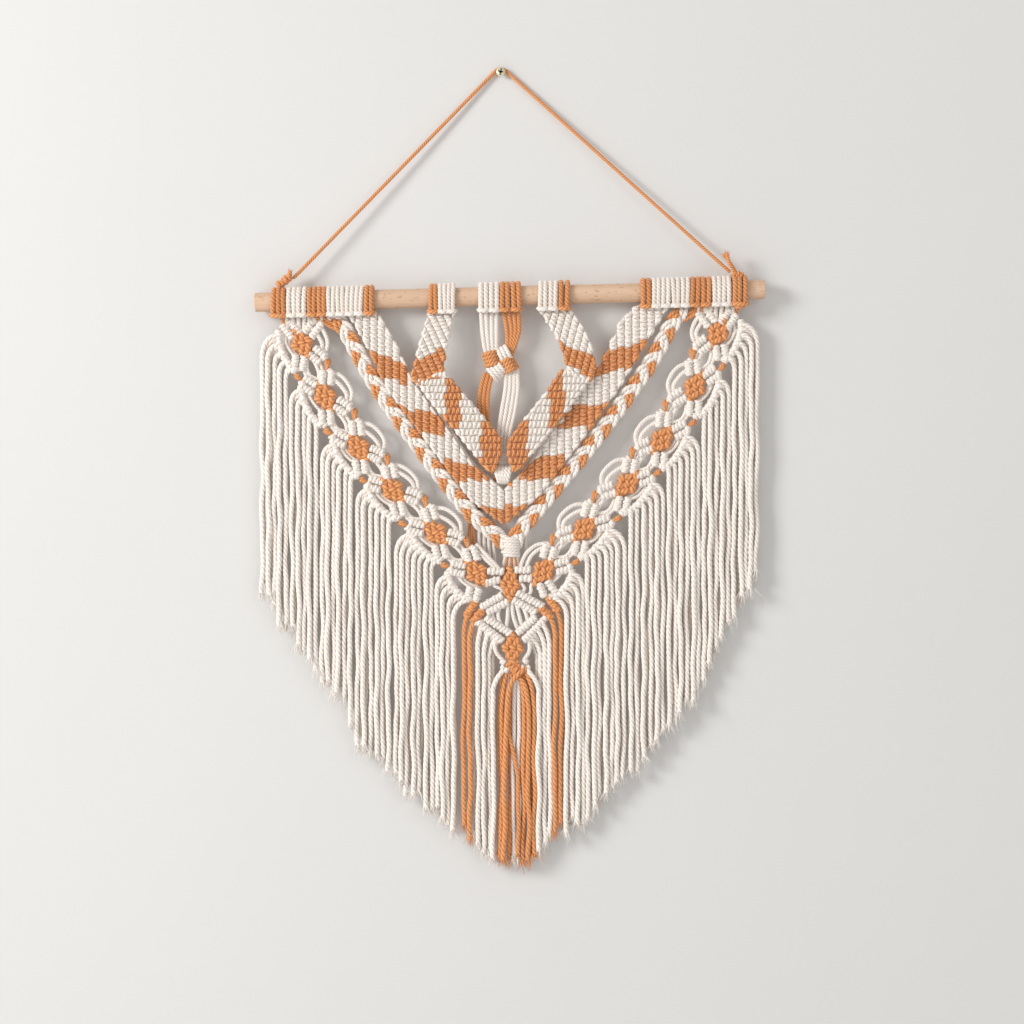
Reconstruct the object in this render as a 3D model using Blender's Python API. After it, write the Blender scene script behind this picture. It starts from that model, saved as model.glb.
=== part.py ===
"""Macrame wall hanging on a wooden dowel, hung by a cord from one wall screw.

Units in the tables are millimetres.  X runs along the wall to the right, Z is up and -Y points
to the viewer.  The wall is the plane Y = 0 and the origin is the middle of the screw's rear face.
"""

import math
from collections import namedtuple

import bmesh
import bpy
from mathutils import Matrix, Vector
from mathutils.bvhtree import BVHTree

MM = 0.001
GAP = 0.3
SEAT_REACH = 5.0
SEAT_STEP = 0.05

# The dowel and its small tilt: the right end hangs higher.
DOWEL_LENGTH = 400.0
DOWEL_RADIUS = 7.5
DOWEL_CHAMFER = 0.5
DOWEL_X = 7.2
DOWEL_Y = -12.0
DOWEL_Z = -177.0
LEAN = 0.0255

# Cotton cord of the knotted parts, and the turns that it makes round the dowel.
STRAND_RADIUS = 1.9
WRAP_SIDES = 8
WRAP_INNER_RADIUS = (DOWEL_RADIUS + GAP) / math.cos(math.pi / WRAP_SIDES)
WRAP_OUTER_RADIUS = 11.3
WRAP_GROOVE_RADIUS = 10.2
HEADING_DROP = 11.3
HEADING_FORWARD = 1.6
HEADING_INSET = 0.4
HEADING_HALF_HEIGHT = 2.4
HEADING_HALF_DEPTH = 3.0

# The wall screw and the hanging cord that lies on its shank.
SCREW_SIDES = 20
DOWEL_SIDES = 24
SHANK_RADIUS = 1.5
HEAD_RADIUS = 3.6
HEAD_REAR_Y = -4.5
HEAD_RIM_Y = -5.6
HEAD_DOME_Y = -6.75
HEAD_DOME_RADIUS = 2.9
HEAD_TOP_Y = -7.3
HEAD_FLAT_RADIUS = 1.5
RECESS_LENGTH = 3.6
RECESS_WIDTH = 0.9
RECESS_DEPTH = 0.9
HANG_RADIUS = 1.5
HANG_BEND = 6.0
HANG_Y_AT_SCREW = -2.3
HANG_STEP = 9.0
HANG_BEND_STEPS = 5
HANG_LEFT = (-162.5, -162.9)
HANG_RIGHT = (179.7, -158.2)

# Knots of the hanging cord over the dowel's ends, and the free ends that stand out of them.
Lump = namedtuple("Lump", "start end half_width half_depth knots")
LEFT_KNOT = Lump((-175.2, -170.6), (-164.4, -162.0), 4.0, 4.0, 3)
LEFT_STUB = ((-166.5, -13.0, -164.5), (-165.0, -13.2, -158.6))
RIGHT_KNOT = Lump((190.0, -161.0), (181.0, -159.0), 3.7, 3.8, 3)
RIGHT_TAILS = (
    ((186.0, -13.5, -161.5), (180.5, -14.5, -153.0), (176.4, -14.8, -143.6)),
    ((184.5, -14.8, -161.0), (178.0, -16.6, -154.0), (172.8, -17.0, -147.0)),
)
TAIL_RADIUS = 1.4
TAIL_SIDES = 5

# Half-hitch bars and the woven knots of the V-band.
BAR_HALF_WIDTH = 5.6
BAR_HALF_DEPTH = 3.4
BAR_GROOVE = 0.86
BAR_SIDES = 6
BAR_START = 0.25
V_BAR_KNOTS = 4
KNOT_HALF_WIDTH = 7.6
KNOT_HALF_LENGTH = 11.0
KNOT_HALF_DEPTH = 4.6
KNOT_ROWS_OF_CORD = 3
INNER_REACH = 12.4
OUTER_REACH = 14.1

# Loops beside each rust knot: place along the band and swing away from it, as shares.
LoopRow = namedtuple("LoopRow", "place swing")
LOOP_ROWS = (
    LoopRow(-1.0, 0.62),
    LoopRow(-0.5, 0.94),
    LoopRow(0.5, 0.94),
    LoopRow(1.0, 0.62),
)
LOOP_SPAN = 10.5
LOOP_HALF_DEPTH = 2.6
Loop = namedtuple("Loop", "reach half_width")
LOOPS = (Loop(-13.6, 3.4), Loop(13.0, 2.4))

# Two cords that cross the eye between two rust knots: start and end from the eye's middle.
Crossing = namedtuple("Crossing", "along out")
EYE_CORDS = (
    (Crossing(-10.1, -6.2), Crossing(0.0, 1.6), Crossing(4.9, 9.8)),
    (Crossing(-4.9, -8.8), Crossing(1.6, -0.4), Crossing(10.1, 7.2)),
)

# Rust knots down each arm of the V: distance from the middle line and height at the middle line.
Place = namedtuple("Place", "across z")
BAND_KNOTS = (
    Place(163.1, -210.0),
    Place(144.9, -252.3),
    Place(118.8, -293.0),
    Place(91.8, -326.8),
    Place(58.0, -361.3),
    Place(26.2, -393.4),
)
ROOF_BAR = (Place(146.5, -200.0), Place(161.0, -190.0), Place(178.5, -200.0))
ROOF_BAR_KNOTS = 6
FRINGE_TOP = Place(182.0, -197.0)
FRINGE_LAST = Place(34.7, -415.8)

# The middle of the band: two rust knots, bars round the small diamond, loops, two small knots.
Bar = namedtuple("Bar", "points knots")
CENTRE_KNOTS = ((7.2, -402.8), (9.6, -454.6))
CENTRE_BARS = (
    Bar(((-14.0, -393.0), (5.0, -397.5)), 2),
    Bar(((26.0, -391.8), (9.5, -397.5)), 2),
    Bar(((-22.0, -398.0), (-22.5, -418.0), (-3.0, -418.0), (6.0, -410.5)), 5),
    Bar(((36.0, -395.0), (38.0, -415.5), (19.0, -416.5), (9.0, -410.5)), 5),
    Bar(((-16.0, -419.0), (-15.5, -428.0), (7.0, -447.0)), 5),
    Bar(((32.5, -417.0), (33.5, -427.0), (12.0, -447.0)), 5),
)
CENTRE_BAR_HALF_WIDTH = 5.0
CENTRE_LOOPS = (
    ((-6.0, -421.0), (-5.0, -429.0), (-4.0, -437.0)),
    ((1.6, -416.0), (1.2, -429.0), (2.4, -442.0)),
    ((15.0, -415.0), (16.6, -428.0), (14.8, -441.0)),
    ((22.6, -419.0), (24.0, -427.0), (22.8, -435.0)),
    ((0.0, -446.0), (-2.6, -455.0), (0.6, -466.0)),
    ((17.6, -446.0), (21.4, -455.0), (18.6, -464.0)),
)
SMALL_KNOTS = (
    Lump((1.5, -461.5), (3.5, -472.5), 4.0, 3.6, 1),
    Lump((16.4, -459.5), (18.4, -470.5), 4.0, 3.6, 1),
)

# Fringe of each scallop: nearest and farthest strand from the middle line, number of strands.
Scallop = namedtuple("Scallop", "nearest farthest strands")
SCALLOPS = (
    Scallop(176.4, 194.2, 5),
    Scallop(152.2, 171.6, 5),
    Scallop(124.8, 147.4, 6),
    Scallop(95.0, 120.0, 6),
    Scallop(61.2, 89.6, 7),
    Scallop(45.0, 57.2, 4),
)
STRIP_HALF_WIDTH = 3.4
STRIP_HALF_DEPTH = 3.9
STRIP_START = (9.0, 2.5)
STRIP_END = (-5.5, 5.0)
STRIP_SWELL = 4.5
STRIP_MARGIN = 0.05
FRINGE_RADIUS = 2.1
SHOULDER_REACH = 0.62
SHOULDER_RISE = 0.10
HANG_DROP = 5.0
HANG_SLOPE = 0.75

# Where the fringe ends: a stepped curve from left to right.
End = namedtuple("End", "x z")
END_UNEVENNESS = 3.0
END_WAVE = 1.7
END_ROWS = (
    End(-190.0, -404.0),
    End(-184.0, -409.0),
    End(-160.0, -446.0),
    End(-139.0, -482.0),
    End(-112.0, -528.0),
    End(-90.0, -545.0),
    End(-56.0, -579.0),
    End(-24.0, -607.0),
    End(10.0, -624.0),
    End(38.0, -605.0),
    End(64.0, -592.0),
    End(87.0, -563.0),
    End(119.0, -535.0),
    End(142.0, -502.0),
    End(157.0, -489.0),
    End(171.0, -449.0),
    End(201.0, -396.0),
)

# Cord turns round the dowel: start and end along X, number of turns.
Turns = namedtuple("Turns", "start end turns")
TURNS = {
    "cord_knot_left": Turns(-179.4, -168.3, 3),
    "v_band_left": Turns(-167.6, -136.5, 8),
    "braid_left": Turns(-136.2, -122.0, 4),
    "outer_panel_left": Turns(-121.7, -98.6, 6),
    "inner_panel_left": Turns(-56.3, -35.5, 6),
    "centre_tie": Turns(-17.5, 16.1, 8),
    "inner_panel_right": Turns(29.2, 54.6, 6),
    "outer_panel_right": Turns(109.1, 132.7, 6),
    "braid_right": Turns(133.0, 147.7, 4),
    "v_band_right": Turns(148.0, 180.2, 8),
    "cord_knot_right": Turns(180.6, 193.0, 3),
}

# Outlines of the knotted panels, walked round once: x, z of each corner.
OUTER_LEFT = (
    (-120.0, -191.0),
    (-98.5, -189.0),
    (-84.1, -214.7),
    (-70.4, -244.5),
    (-42.2, -282.9),
    (-24.1, -308.7),
    (2.8, -331.0),
    (2.8, -357.3),
    (-24.5, -337.0),
    (-66.9, -280.2),
    (-89.2, -250.7),
    (-102.5, -221.7),
)
OUTER_RIGHT = (
    (132.0, -184.5),
    (109.0, -184.5),
    (97.8, -195.4),
    (89.9, -213.1),
    (76.2, -239.7),
    (62.1, -255.4),
    (29.9, -304.8),
    (3.1, -330.5),
    (3.1, -357.0),
    (30.7, -333.8),
    (73.5, -277.4),
    (95.8, -245.2),
    (116.2, -210.6),
)
INNER_LEFT_TOP = (
    (-56.5, -189.2),
    (-35.5, -188.6),
    (-42.0, -218.2),
    (-44.5, -234.2),
    (-43.0, -241.0),
    (-66.0, -247.5),
    (-70.6, -240.1),
    (-64.1, -216.2),
)
INNER_LEFT_LOW = (
    (-66.5, -243.5),
    (-43.5, -236.5),
    (-30.0, -252.1),
    (-8.5, -277.1),
    (1.2, -289.1),
    (1.0, -301.0),
    (-4.0, -315.0),
    (-10.0, -314.2),
    (-36.1, -282.1),
    (-52.1, -263.2),
)
INNER_RIGHT_TOP = (
    (29.3, -187.0),
    (54.5, -186.4),
    (65.0, -202.1),
    (72.0, -218.2),
    (74.5, -234.2),
    (70.0, -245.5),
    (48.5, -239.0),
    (51.0, -231.9),
    (45.9, -215.1),
)
INNER_RIGHT_LOW = (
    (72.0, -241.0),
    (46.5, -235.0),
    (35.0, -252.1),
    (15.0, -277.1),
    (4.9, -291.2),
    (4.2, -302.0),
    (9.0, -315.0),
    (15.1, -313.4),
    (41.9, -281.1),
    (57.0, -262.0),
)
RIB_PITCH = 5.8
RIB_SWELL = 0.5
RIB_INSET = 0.25
PANEL_HALF_DEPTH = 2.9
PANEL_GROOVE = 0.8
OUTER_PANEL_Y = -15.4
INNER_PANEL_Y = -21.6
PANEL_TOP_Y = -14.6
PANEL_TOP_Z = -188.0
PANEL_DROP = 26.0
UPRIGHT_RIB = math.radians(90.0)
STEEP_RIB = math.radians(65.0)
LEVEL_RIB = 0.0

# Centre lines of the two plaits from the dowel to the whipping: x, z of each point.
BRAID_LEFT = (
    (-129.0, -190.5),
    (-121.4, -204.5),
    (-112.0, -222.0),
    (-92.4, -255.4),
    (-60.2, -299.8),
    (-41.6, -324.6),
    (-22.8, -347.9),
    (-4.5, -363.6),
)
BRAID_RIGHT = (
    (140.3, -186.0),
    (131.1, -204.5),
    (120.1, -224.9),
    (104.4, -248.4),
    (69.9, -294.6),
    (32.3, -340.1),
    (13.5, -364.2),
)
BRAID_REPEAT = 30.0
BRAID_SWING = 2.9
BRAID_DEPTH_SWING = 1.7
BRAID_STRAND = 2.3
BRAID_SIDES = 8
BRAID_RINGS = 40

# The whipping under the plaits.
WHIP_X = 8.0
WHIP_TOP = -366.6
WHIP_BOTTOM = -381.0
WHIP_HALF_WIDTH = 7.0
WHIP_HALF_DEPTH = 5.2
WHIP_TURNS = 5
WHIP_SIDES = 8
WHIP_TAILS = (-7.0, -2.4, 2.4, 7.0)
WHIP_TAIL_RADIUS = 1.7

# Each tail of the whipping: spread, step towards the wall and height against the whipping's end.
TailRow = namedtuple("TailRow", "spread back rise")
WHIP_TAIL_ROWS = (
    TailRow(0.5, 1.0, 4.0),
    TailRow(0.8, 5.5, -4.0),
    TailRow(1.0, 7.6, -10.0),
    TailRow(1.3, 7.8, -20.0),
)

# The centre tie: cords from the dowel, four lobes of a crown knot, cords, a round knot, tails.
TIE_CORDS = 8
TIE_FIRST_X = -15.2
TIE_PITCH = 4.2
TIE_MIDDLE = 0.3
TieRow = namedtuple("TieRow", "spread pitch forward z")
TIE_ROWS = (
    TieRow(6.5, 2.6, 0.5, -206.0),
    TieRow(5.0, 1.4, 0.0, -222.0),
)
TIE_TOP = (1.5, -188.0)
CROWN_LOBES = (
    Lump((-13.5, -221.5), (-2.5, -229.5), 5.6, 5.0, 1),
    Lump((-3.5, -219.0), (8.5, -226.0), 5.6, 5.0, 1),
    Lump((-10.5, -231.5), (2.5, -237.5), 5.6, 5.0, 1),
    Lump((0.5, -226.5), (12.5, -234.5), 5.6, 5.0, 1),
)
TIE_LOWER = (
    ((-9.0, -233.0), (-14.0, -254.0), (-15.0, -276.0), (-4.0, -314.0)),
    ((-6.0, -233.0), (-10.0, -254.0), (-11.0, -276.0), (0.0, -314.0)),
    ((7.0, -232.0), (6.0, -254.0), (2.0, -276.0), (3.0, -314.0)),
    ((11.0, -232.0), (10.0, -254.0), (7.0, -276.0), (6.0, -314.0)),
)
TIE_LOWER_RADIUS = 2.4
ROUND_KNOT = Lump((-6.0, -318.0), (9.0, -318.0), 5.0, 4.4, 2)
TIE_TAILS = (
    ((-3.0, -318.0), (-12.0, -334.0), (-21.5, -352.0), (-24.5, -388.0)),
    ((-1.0, -318.0), (-8.0, -336.0), (-16.6, -352.0), (-19.2, -390.0)),
    ((1.0, -318.0), (-4.0, -338.0), (-11.4, -358.0), (-8.6, -392.0)),
    ((4.0, -318.0), (10.0, -338.0), (18.4, -360.0), (20.4, -388.0)),
)
TIE_TAIL_DEPTHS = (-10.0, -6.4, -5.2, -5.0)
TIE_TAIL_RADIUS = 1.8

# Strands under the middle diamond: the head's ends, then root and lower end of each strand.
Group = namedtuple("Group", "name head strands finish")
Hang = namedtuple("Hang", "root_x root_z x depth end_z")
HANGING_GROUPS = (
    Group(
        "rust_strands_left",
        ((-29.0, -424.0), (-21.5, -427.5)),
        (
            Hang(-28.0, -424.5, -28.4, 0.4, -590.0),
            Hang(-23.0, -427.0, -23.6, -0.4, -600.0),
        ),
        "rust",
    ),
    Group(
        "rust_strands_right",
        ((45.8, -421.8), (39.0, -424.9)),
        (
            Hang(45.0, -422.2, 46.5, 0.4, -590.0),
            Hang(40.6, -424.2, 42.5, -0.4, -596.0),
        ),
        "rust",
    ),
    Group(
        "fringe_centre_left",
        ((-17.0, -438.0), (-4.0, -449.5)),
        (
            Hang(-16.0, -439.0, -17.8, 0.0, -606.0),
            Hang(-11.0, -443.5, -12.4, 0.6, -612.0),
            Hang(-5.5, -448.5, -6.6, 0.0, -615.0),
        ),
        "cream",
    ),
    Group(
        "fringe_centre_right",
        ((37.0, -436.0), (24.0, -448.5)),
        (
            Hang(36.0, -437.0, 38.4, 0.0, -597.0),
            Hang(31.0, -442.0, 34.0, 0.6, -603.0),
            Hang(25.5, -447.0, 29.4, 0.0, -608.0),
        ),
        "cream",
    ),
)
HEAD_HALF_HEIGHT = 2.7
HEAD_HALF_DEPTH = 3.0
GROUP_RADIUS = 2.0
GROUP_FALL = 12.0
GROUP_SWAY = 0.5

# The tassel: its head, and strands in two layers that fan out from it.
TASSEL_HEAD = ((2.0, -475.0), (18.0, -475.0))
TASSEL_STRANDS = 10
TASSEL_ROOTS = (4.0, 16.0)
TASSEL_ROOT_Z = -476.0
TASSEL_ENDS = (-1.0, 25.0)
TASSEL_END_Z = -616.0
TASSEL_LAYER = 2.3
TASSEL_SWELL = 5.0

# Share of the faces that a fused solid keeps.
ALL_FACES = 1.0
FACES_KEPT = 0.74
BAND_FACES_KEPT = 0.64

# Finish of the parts.
CREAM = ((0.83, 0.79, 0.72, 1.0), 0.92, 0.0)
RUST = ((0.58, 0.22, 0.07, 1.0), 0.9, 0.0)
BEECH = ((0.72, 0.50, 0.33, 1.0), 0.6, 0.0)
BRASS = ((0.62, 0.52, 0.30, 1.0), 0.35, 1.0)


# ---------------------------------------------------------------- materials and objects


def make_material(name, finish):
    """Return a Principled material with the given colour, roughness and metallic value."""
    colour, roughness, metallic = finish
    material = bpy.data.materials.new(name)
    material.use_nodes = True
    shader = material.node_tree.nodes["Principled BSDF"]
    shader.inputs["Base Color"].default_value = colour
    shader.inputs["Roughness"].default_value = roughness
    shader.inputs["Metallic"].default_value = metallic
    material.diffuse_color = colour
    return material


def add_object(name, mesh):
    """Link a new object that shows the mesh."""
    piece = bpy.data.objects.new(name, mesh)
    bpy.context.scene.collection.objects.link(piece)
    return piece


def finish_object(piece, material):
    """Give the piece its material and smooth round faces."""
    piece.data.materials.clear()
    piece.data.materials.append(material)
    piece.data.shade_smooth()
    piece.data.set_sharp_from_angle(angle=math.radians(35.0))


def closed_mesh(name, rings):
    """Skin a list of equal rings of points into one closed mesh with flat ends."""
    shape = bmesh.new()
    rows = []
    for ring in rings:
        rows.append([shape.verts.new(Vector(point) * MM) for point in ring])
    count = len(rows[0])
    for first, second in zip(rows[:-1], rows[1:]):
        for index in range(count):
            after = (index + 1) % count
            shape.faces.new((first[index], first[after], second[after], second[index]))
    shape.faces.new(rows[0])
    shape.faces.new(rows[-1])
    bmesh.ops.recalc_face_normals(shape, faces=shape.faces)
    mesh = bpy.data.meshes.new(name)
    shape.to_mesh(mesh)
    shape.free()
    return mesh


def combine(base, others, operation, keep=ALL_FACES):
    """Join, or cut, the first mesh by the others and return a share of the faces of the result."""
    base_object = add_object("base", base)
    group = bpy.data.collections.new("operands")
    bpy.context.scene.collection.children.link(group)
    operands = []
    for index, mesh in enumerate(others):
        operand = bpy.data.objects.new("operand_%d" % index, mesh)
        group.objects.link(operand)
        operands.append(operand)
    boolean = base_object.modifiers.new("boolean", "BOOLEAN")
    boolean.operation = operation
    boolean.operand_type = "COLLECTION"
    boolean.collection = group
    boolean.solver = "EXACT"
    if keep < 1.0:
        simplify = base_object.modifiers.new("simplify", "DECIMATE")
        simplify.ratio = keep
    depsgraph = bpy.context.evaluated_depsgraph_get()
    result = bpy.data.meshes.new_from_object(base_object.evaluated_get(depsgraph))
    for operand in operands + [base_object]:
        bpy.data.objects.remove(operand)
    bpy.data.collections.remove(group)
    return result


def fuse(name, meshes, material, keep=FACES_KEPT):
    """Make one solid, and its object, from overlapping closed meshes."""
    mesh = combine(meshes[0], meshes[1:], "UNION", keep)
    mesh.name = name
    piece = add_object(name, mesh)
    finish_object(piece, material)
    return piece


# ---------------------------------------------------------------- forms


def smooth_path(points, steps):
    """Read a path of the given number of steps from a Catmull-Rom curve through the points."""
    knots = [Vector(point) for point in points]
    knots = [2.0 * knots[0] - knots[1]] + knots + [2.0 * knots[-1] - knots[-2]]
    spans = len(knots) - 3
    path = []
    for step in range(steps + 1):
        place = step * spans / steps
        span = min(int(place), spans - 1)
        t = place - span
        a, b, c, d = knots[span:span + 4]
        point = 2.0 * b + (c - a) * t + (2.0 * a - 5.0 * b + 4.0 * c - d) * t * t
        point += (3.0 * b - a - 3.0 * c + d) * t * t * t
        path.append(0.5 * point)
    return path


def even_path(points, steps):
    """Read equally spaced points from the polyline through the given points."""
    knots = [Vector(point) for point in points]
    lengths = [(after - before).length for before, after in zip(knots[:-1], knots[1:])]
    total = sum(lengths)
    path = []
    for step in range(steps + 1):
        rest = total * step / steps
        span = 0
        while span < len(lengths) - 1 and rest > lengths[span]:
            rest -= lengths[span]
            span += 1
        path.append(knots[span].lerp(knots[span + 1], min(1.0, rest / lengths[span])))
    return path


def sweep(path, section):
    """Rings of the section along a path.

    section(index) gives (across, depth) pairs: across lies in the wall's plane at right angles to
    the path, and depth runs along Y.
    """
    rings = []
    last = len(path) - 1
    for index, centre in enumerate(path):
        tangent = path[min(index + 1, last)] - path[max(index - 1, 0)]
        across = tangent.cross(Vector((0.0, 1.0, 0.0))).normalized()
        depth = across.cross(tangent).normalized()
        rings.append([centre + across * a + depth * d for a, d in section(index)])
    return rings


def polygon(sides, half_width, half_depth, turn=0.5):
    """Points of a flattened regular polygon."""
    angles = [math.tau * (side + turn) / sides for side in range(sides)]
    return [(half_width * math.cos(angle), half_depth * math.sin(angle)) for angle in angles]


def strand(name, points, radius, sides, steps):
    """A plain strand of cord with a polygon section along a smooth path."""
    section = polygon(sides, radius, radius)
    return closed_mesh(name, sweep(smooth_path(points, steps), lambda index: section))


def ridged_bar(name, points, half_width, half_depth, ridges, sides=BAR_SIDES):
    """A bar of half-hitch knots: one swelling for each knot, a groove between two."""
    path = even_path(points, 2 * ridges)

    def section(index):
        size = 1.0 if index % 2 else BAR_GROOVE
        return polygon(sides, half_width * size, half_depth * size)

    return closed_mesh(name, sweep(path, section))


def leaned(place, side):
    """Put a point of the symmetric layout, given by across and z, on the leaning hanging."""
    across = side * place.across
    return Vector((DOWEL_X + across, DOWEL_Y, place.z + LEAN * across))


def flat_points(rows):
    """Points of the wall's plane, given by x and z, at the dowel's depth."""
    return [Vector((x, DOWEL_Y, z)) for x, z in rows]


def lump(name, row):
    """A tight knot as a short ridged bar between two points of the wall's plane."""
    ends = flat_points((row.start, row.end))
    return ridged_bar(name, ends, row.half_width, row.half_depth, row.knots)


def dowel_turns(name, row):
    """Cord turns round the dowel, with the cross bar of their lark's heads under it."""
    start, end, turns = row
    stations = [(start, WRAP_INNER_RADIUS)]
    for index in range(2 * turns + 1):
        x = start + (end - start) * index / (2 * turns)
        stations.append((x, WRAP_OUTER_RADIUS if index % 2 else WRAP_GROOVE_RADIUS))
    stations.append((end, WRAP_INNER_RADIUS))
    shape = bmesh.new()
    rings = []
    for x, radius in stations:
        ring = []
        for side in range(WRAP_SIDES):
            angle = math.tau * (side + 0.5) / WRAP_SIDES
            y = DOWEL_Y + radius * math.cos(angle)
            z = DOWEL_Z + radius * math.sin(angle) + LEAN * (x - DOWEL_X)
            ring.append(shape.verts.new(Vector((x, y, z)) * MM))
        rings.append(ring)
    for first, second in zip(rings, rings[1:] + rings[:1]):
        for side in range(WRAP_SIDES):
            after = (side + 1) % WRAP_SIDES
            shape.faces.new((first[side], first[after], second[after], second[side]))
    bmesh.ops.recalc_face_normals(shape, faces=shape.faces)
    mesh = bpy.data.meshes.new(name)
    shape.to_mesh(mesh)
    shape.free()
    ends = []
    for x in (start + HEADING_INSET, end - HEADING_INSET):
        z = DOWEL_Z - HEADING_DROP + LEAN * (x - DOWEL_X)
        ends.append(Vector((x, DOWEL_Y - HEADING_FORWARD, z)))
    section = polygon(BAR_SIDES, HEADING_HALF_HEIGHT, HEADING_HALF_DEPTH, 0.0)
    return [mesh, closed_mesh(name, sweep(ends, lambda index: section))]


def cross_line(outline, direction, offset):
    """The stretch of a slanted line that lies inside the outline, as two distances along it."""
    along = Vector((math.cos(direction), math.sin(direction)))
    across = Vector((-along.y, along.x))
    hits = []
    points = [Vector(point) for point in outline]
    for before, after in zip(points, points[1:] + points[:1]):
        low = before.dot(across) - offset
        high = after.dot(across) - offset
        if low * high < 0.0:
            hit = before.lerp(after, low / (low - high))
            hits.append(hit.dot(along))
    return (min(hits), max(hits)) if hits else None


def panel_depth(z, depth):
    """Y of a panel: it starts under the dowel and swings out to its own plane."""
    drop = min(1.0, max(0.0, (PANEL_TOP_Z - z) / PANEL_DROP))
    ease = drop * drop * (3.0 - 2.0 * drop)
    return PANEL_TOP_Y + (depth - PANEL_TOP_Y) * ease


def ribbed_panel(name, outline, direction, depth, pieces=1):
    """A knotted panel: ribs at RIB_PITCH along the direction, rounded at both ends."""
    along = Vector((math.cos(direction), math.sin(direction)))
    across = Vector((-along.y, along.x))
    offsets = [Vector(point).dot(across) for point in outline]
    low = min(offsets)
    high = max(offsets)
    count = max(2, round((high - low) / RIB_PITCH))
    rings = []
    for index in range(2 * count + 1):
        offset = low + (high - low) * index / (2 * count)
        offset = min(max(offset, low + RIB_INSET), high - RIB_INSET)
        start, end = cross_line(outline, direction, offset)
        crest = index % 2
        half = PANEL_HALF_DEPTH * (1.0 if crest else PANEL_GROOVE)
        swell = RIB_SWELL if crest else 0.0
        front = []
        back = []
        for piece in range(pieces + 1):
            t = start + (end - start) * piece / pieces
            x, z = along * t + across * offset
            y = panel_depth(z, depth)
            front.append((x, y - half, z))
            back.append((x, y + half, z))
        tips = []
        for t in (start - swell, end + swell):
            x, z = along * t + across * offset
            tips.append((x, panel_depth(z, depth), z))
        rings.append([tips[0]] + front + [tips[1]] + back[::-1])
    return closed_mesh(name, rings)


# ---------------------------------------------------------------- seating


def surface_tree(piece, shift):
    """Search tree of the piece's surface, moved by the shift."""
    shape = bmesh.new()
    shape.from_mesh(piece.data)
    shape.transform(Matrix.Translation(shift))
    tree = BVHTree.FromBMesh(shape)
    shape.free()
    return tree


def seat(piece, carrier, direction):
    """Slide the piece along the direction, either way, until it stands GAP off the carrier."""
    carrier_tree = surface_tree(carrier, Vector((0.0, 0.0, 0.0)))
    unit = Vector(direction).normalized() * MM

    def touches(distance):
        return bool(surface_tree(piece, unit * distance).overlap(carrier_tree))

    distance = 0.0
    while touches(distance):
        distance += SEAT_STEP
    while distance > -SEAT_REACH and not touches(distance - SEAT_STEP):
        distance -= SEAT_STEP
    piece.data.transform(Matrix.Translation(unit * (distance + GAP)))
    return piece


# ---------------------------------------------------------------- parts


def make_dowel(material):
    """Turned rod with a small chamfer at both ends."""
    half = 0.5 * DOWEL_LENGTH
    stations = (
        (-half, DOWEL_RADIUS - DOWEL_CHAMFER),
        (-half + DOWEL_CHAMFER, DOWEL_RADIUS),
        (half - DOWEL_CHAMFER, DOWEL_RADIUS),
        (half, DOWEL_RADIUS - DOWEL_CHAMFER),
    )
    rings = []
    for x, radius in stations:
        rings.append([(x, a, b) for a, b in polygon(DOWEL_SIDES, radius, radius)])
    mesh = closed_mesh("dowel", rings)
    tilt = Matrix.Rotation(-math.atan(LEAN), 4, "Y")
    mesh.transform(Matrix.Translation(Vector((DOWEL_X, DOWEL_Y, DOWEL_Z)) * MM) @ tilt)
    piece = add_object("dowel", mesh)
    finish_object(piece, material)


def make_screw(material):
    """Shank and domed head along -Y, with a cross recess."""
    stations = (
        (0.0, SHANK_RADIUS),
        (HEAD_REAR_Y, SHANK_RADIUS),
        (HEAD_REAR_Y, HEAD_RADIUS),
        (HEAD_RIM_Y, HEAD_RADIUS),
        (HEAD_DOME_Y, HEAD_DOME_RADIUS),
        (HEAD_TOP_Y, HEAD_FLAT_RADIUS),
    )
    rings = []
    for y, radius in stations:
        rings.append([(a, y, b) for a, b in polygon(SCREW_SIDES, radius, radius)])
    body = closed_mesh("wall_screw", rings)
    cutters = []
    for turn in (45.0, 135.0):
        angle = math.radians(turn)
        long = Vector((math.cos(angle), 0.0, math.sin(angle))) * (0.5 * RECESS_LENGTH)
        wide = Vector((-math.sin(angle), 0.0, math.cos(angle))) * (0.5 * RECESS_WIDTH)
        rings = []
        for y in (HEAD_TOP_Y + RECESS_DEPTH, HEAD_TOP_Y - RECESS_DEPTH):
            corner = Vector((0.0, y, 0.0))
            rings.append([corner + long + wide, corner - long + wide])
            rings[-1] += [corner - long - wide, corner + long - wide]
        cutters.append(closed_mesh("recess", rings))
    recess = combine(cutters[0], cutters[1:], "UNION")
    mesh = combine(body, [recess], "DIFFERENCE")
    mesh.name = "wall_screw"
    piece = add_object("wall_screw", mesh)
    finish_object(piece, material)


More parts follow.
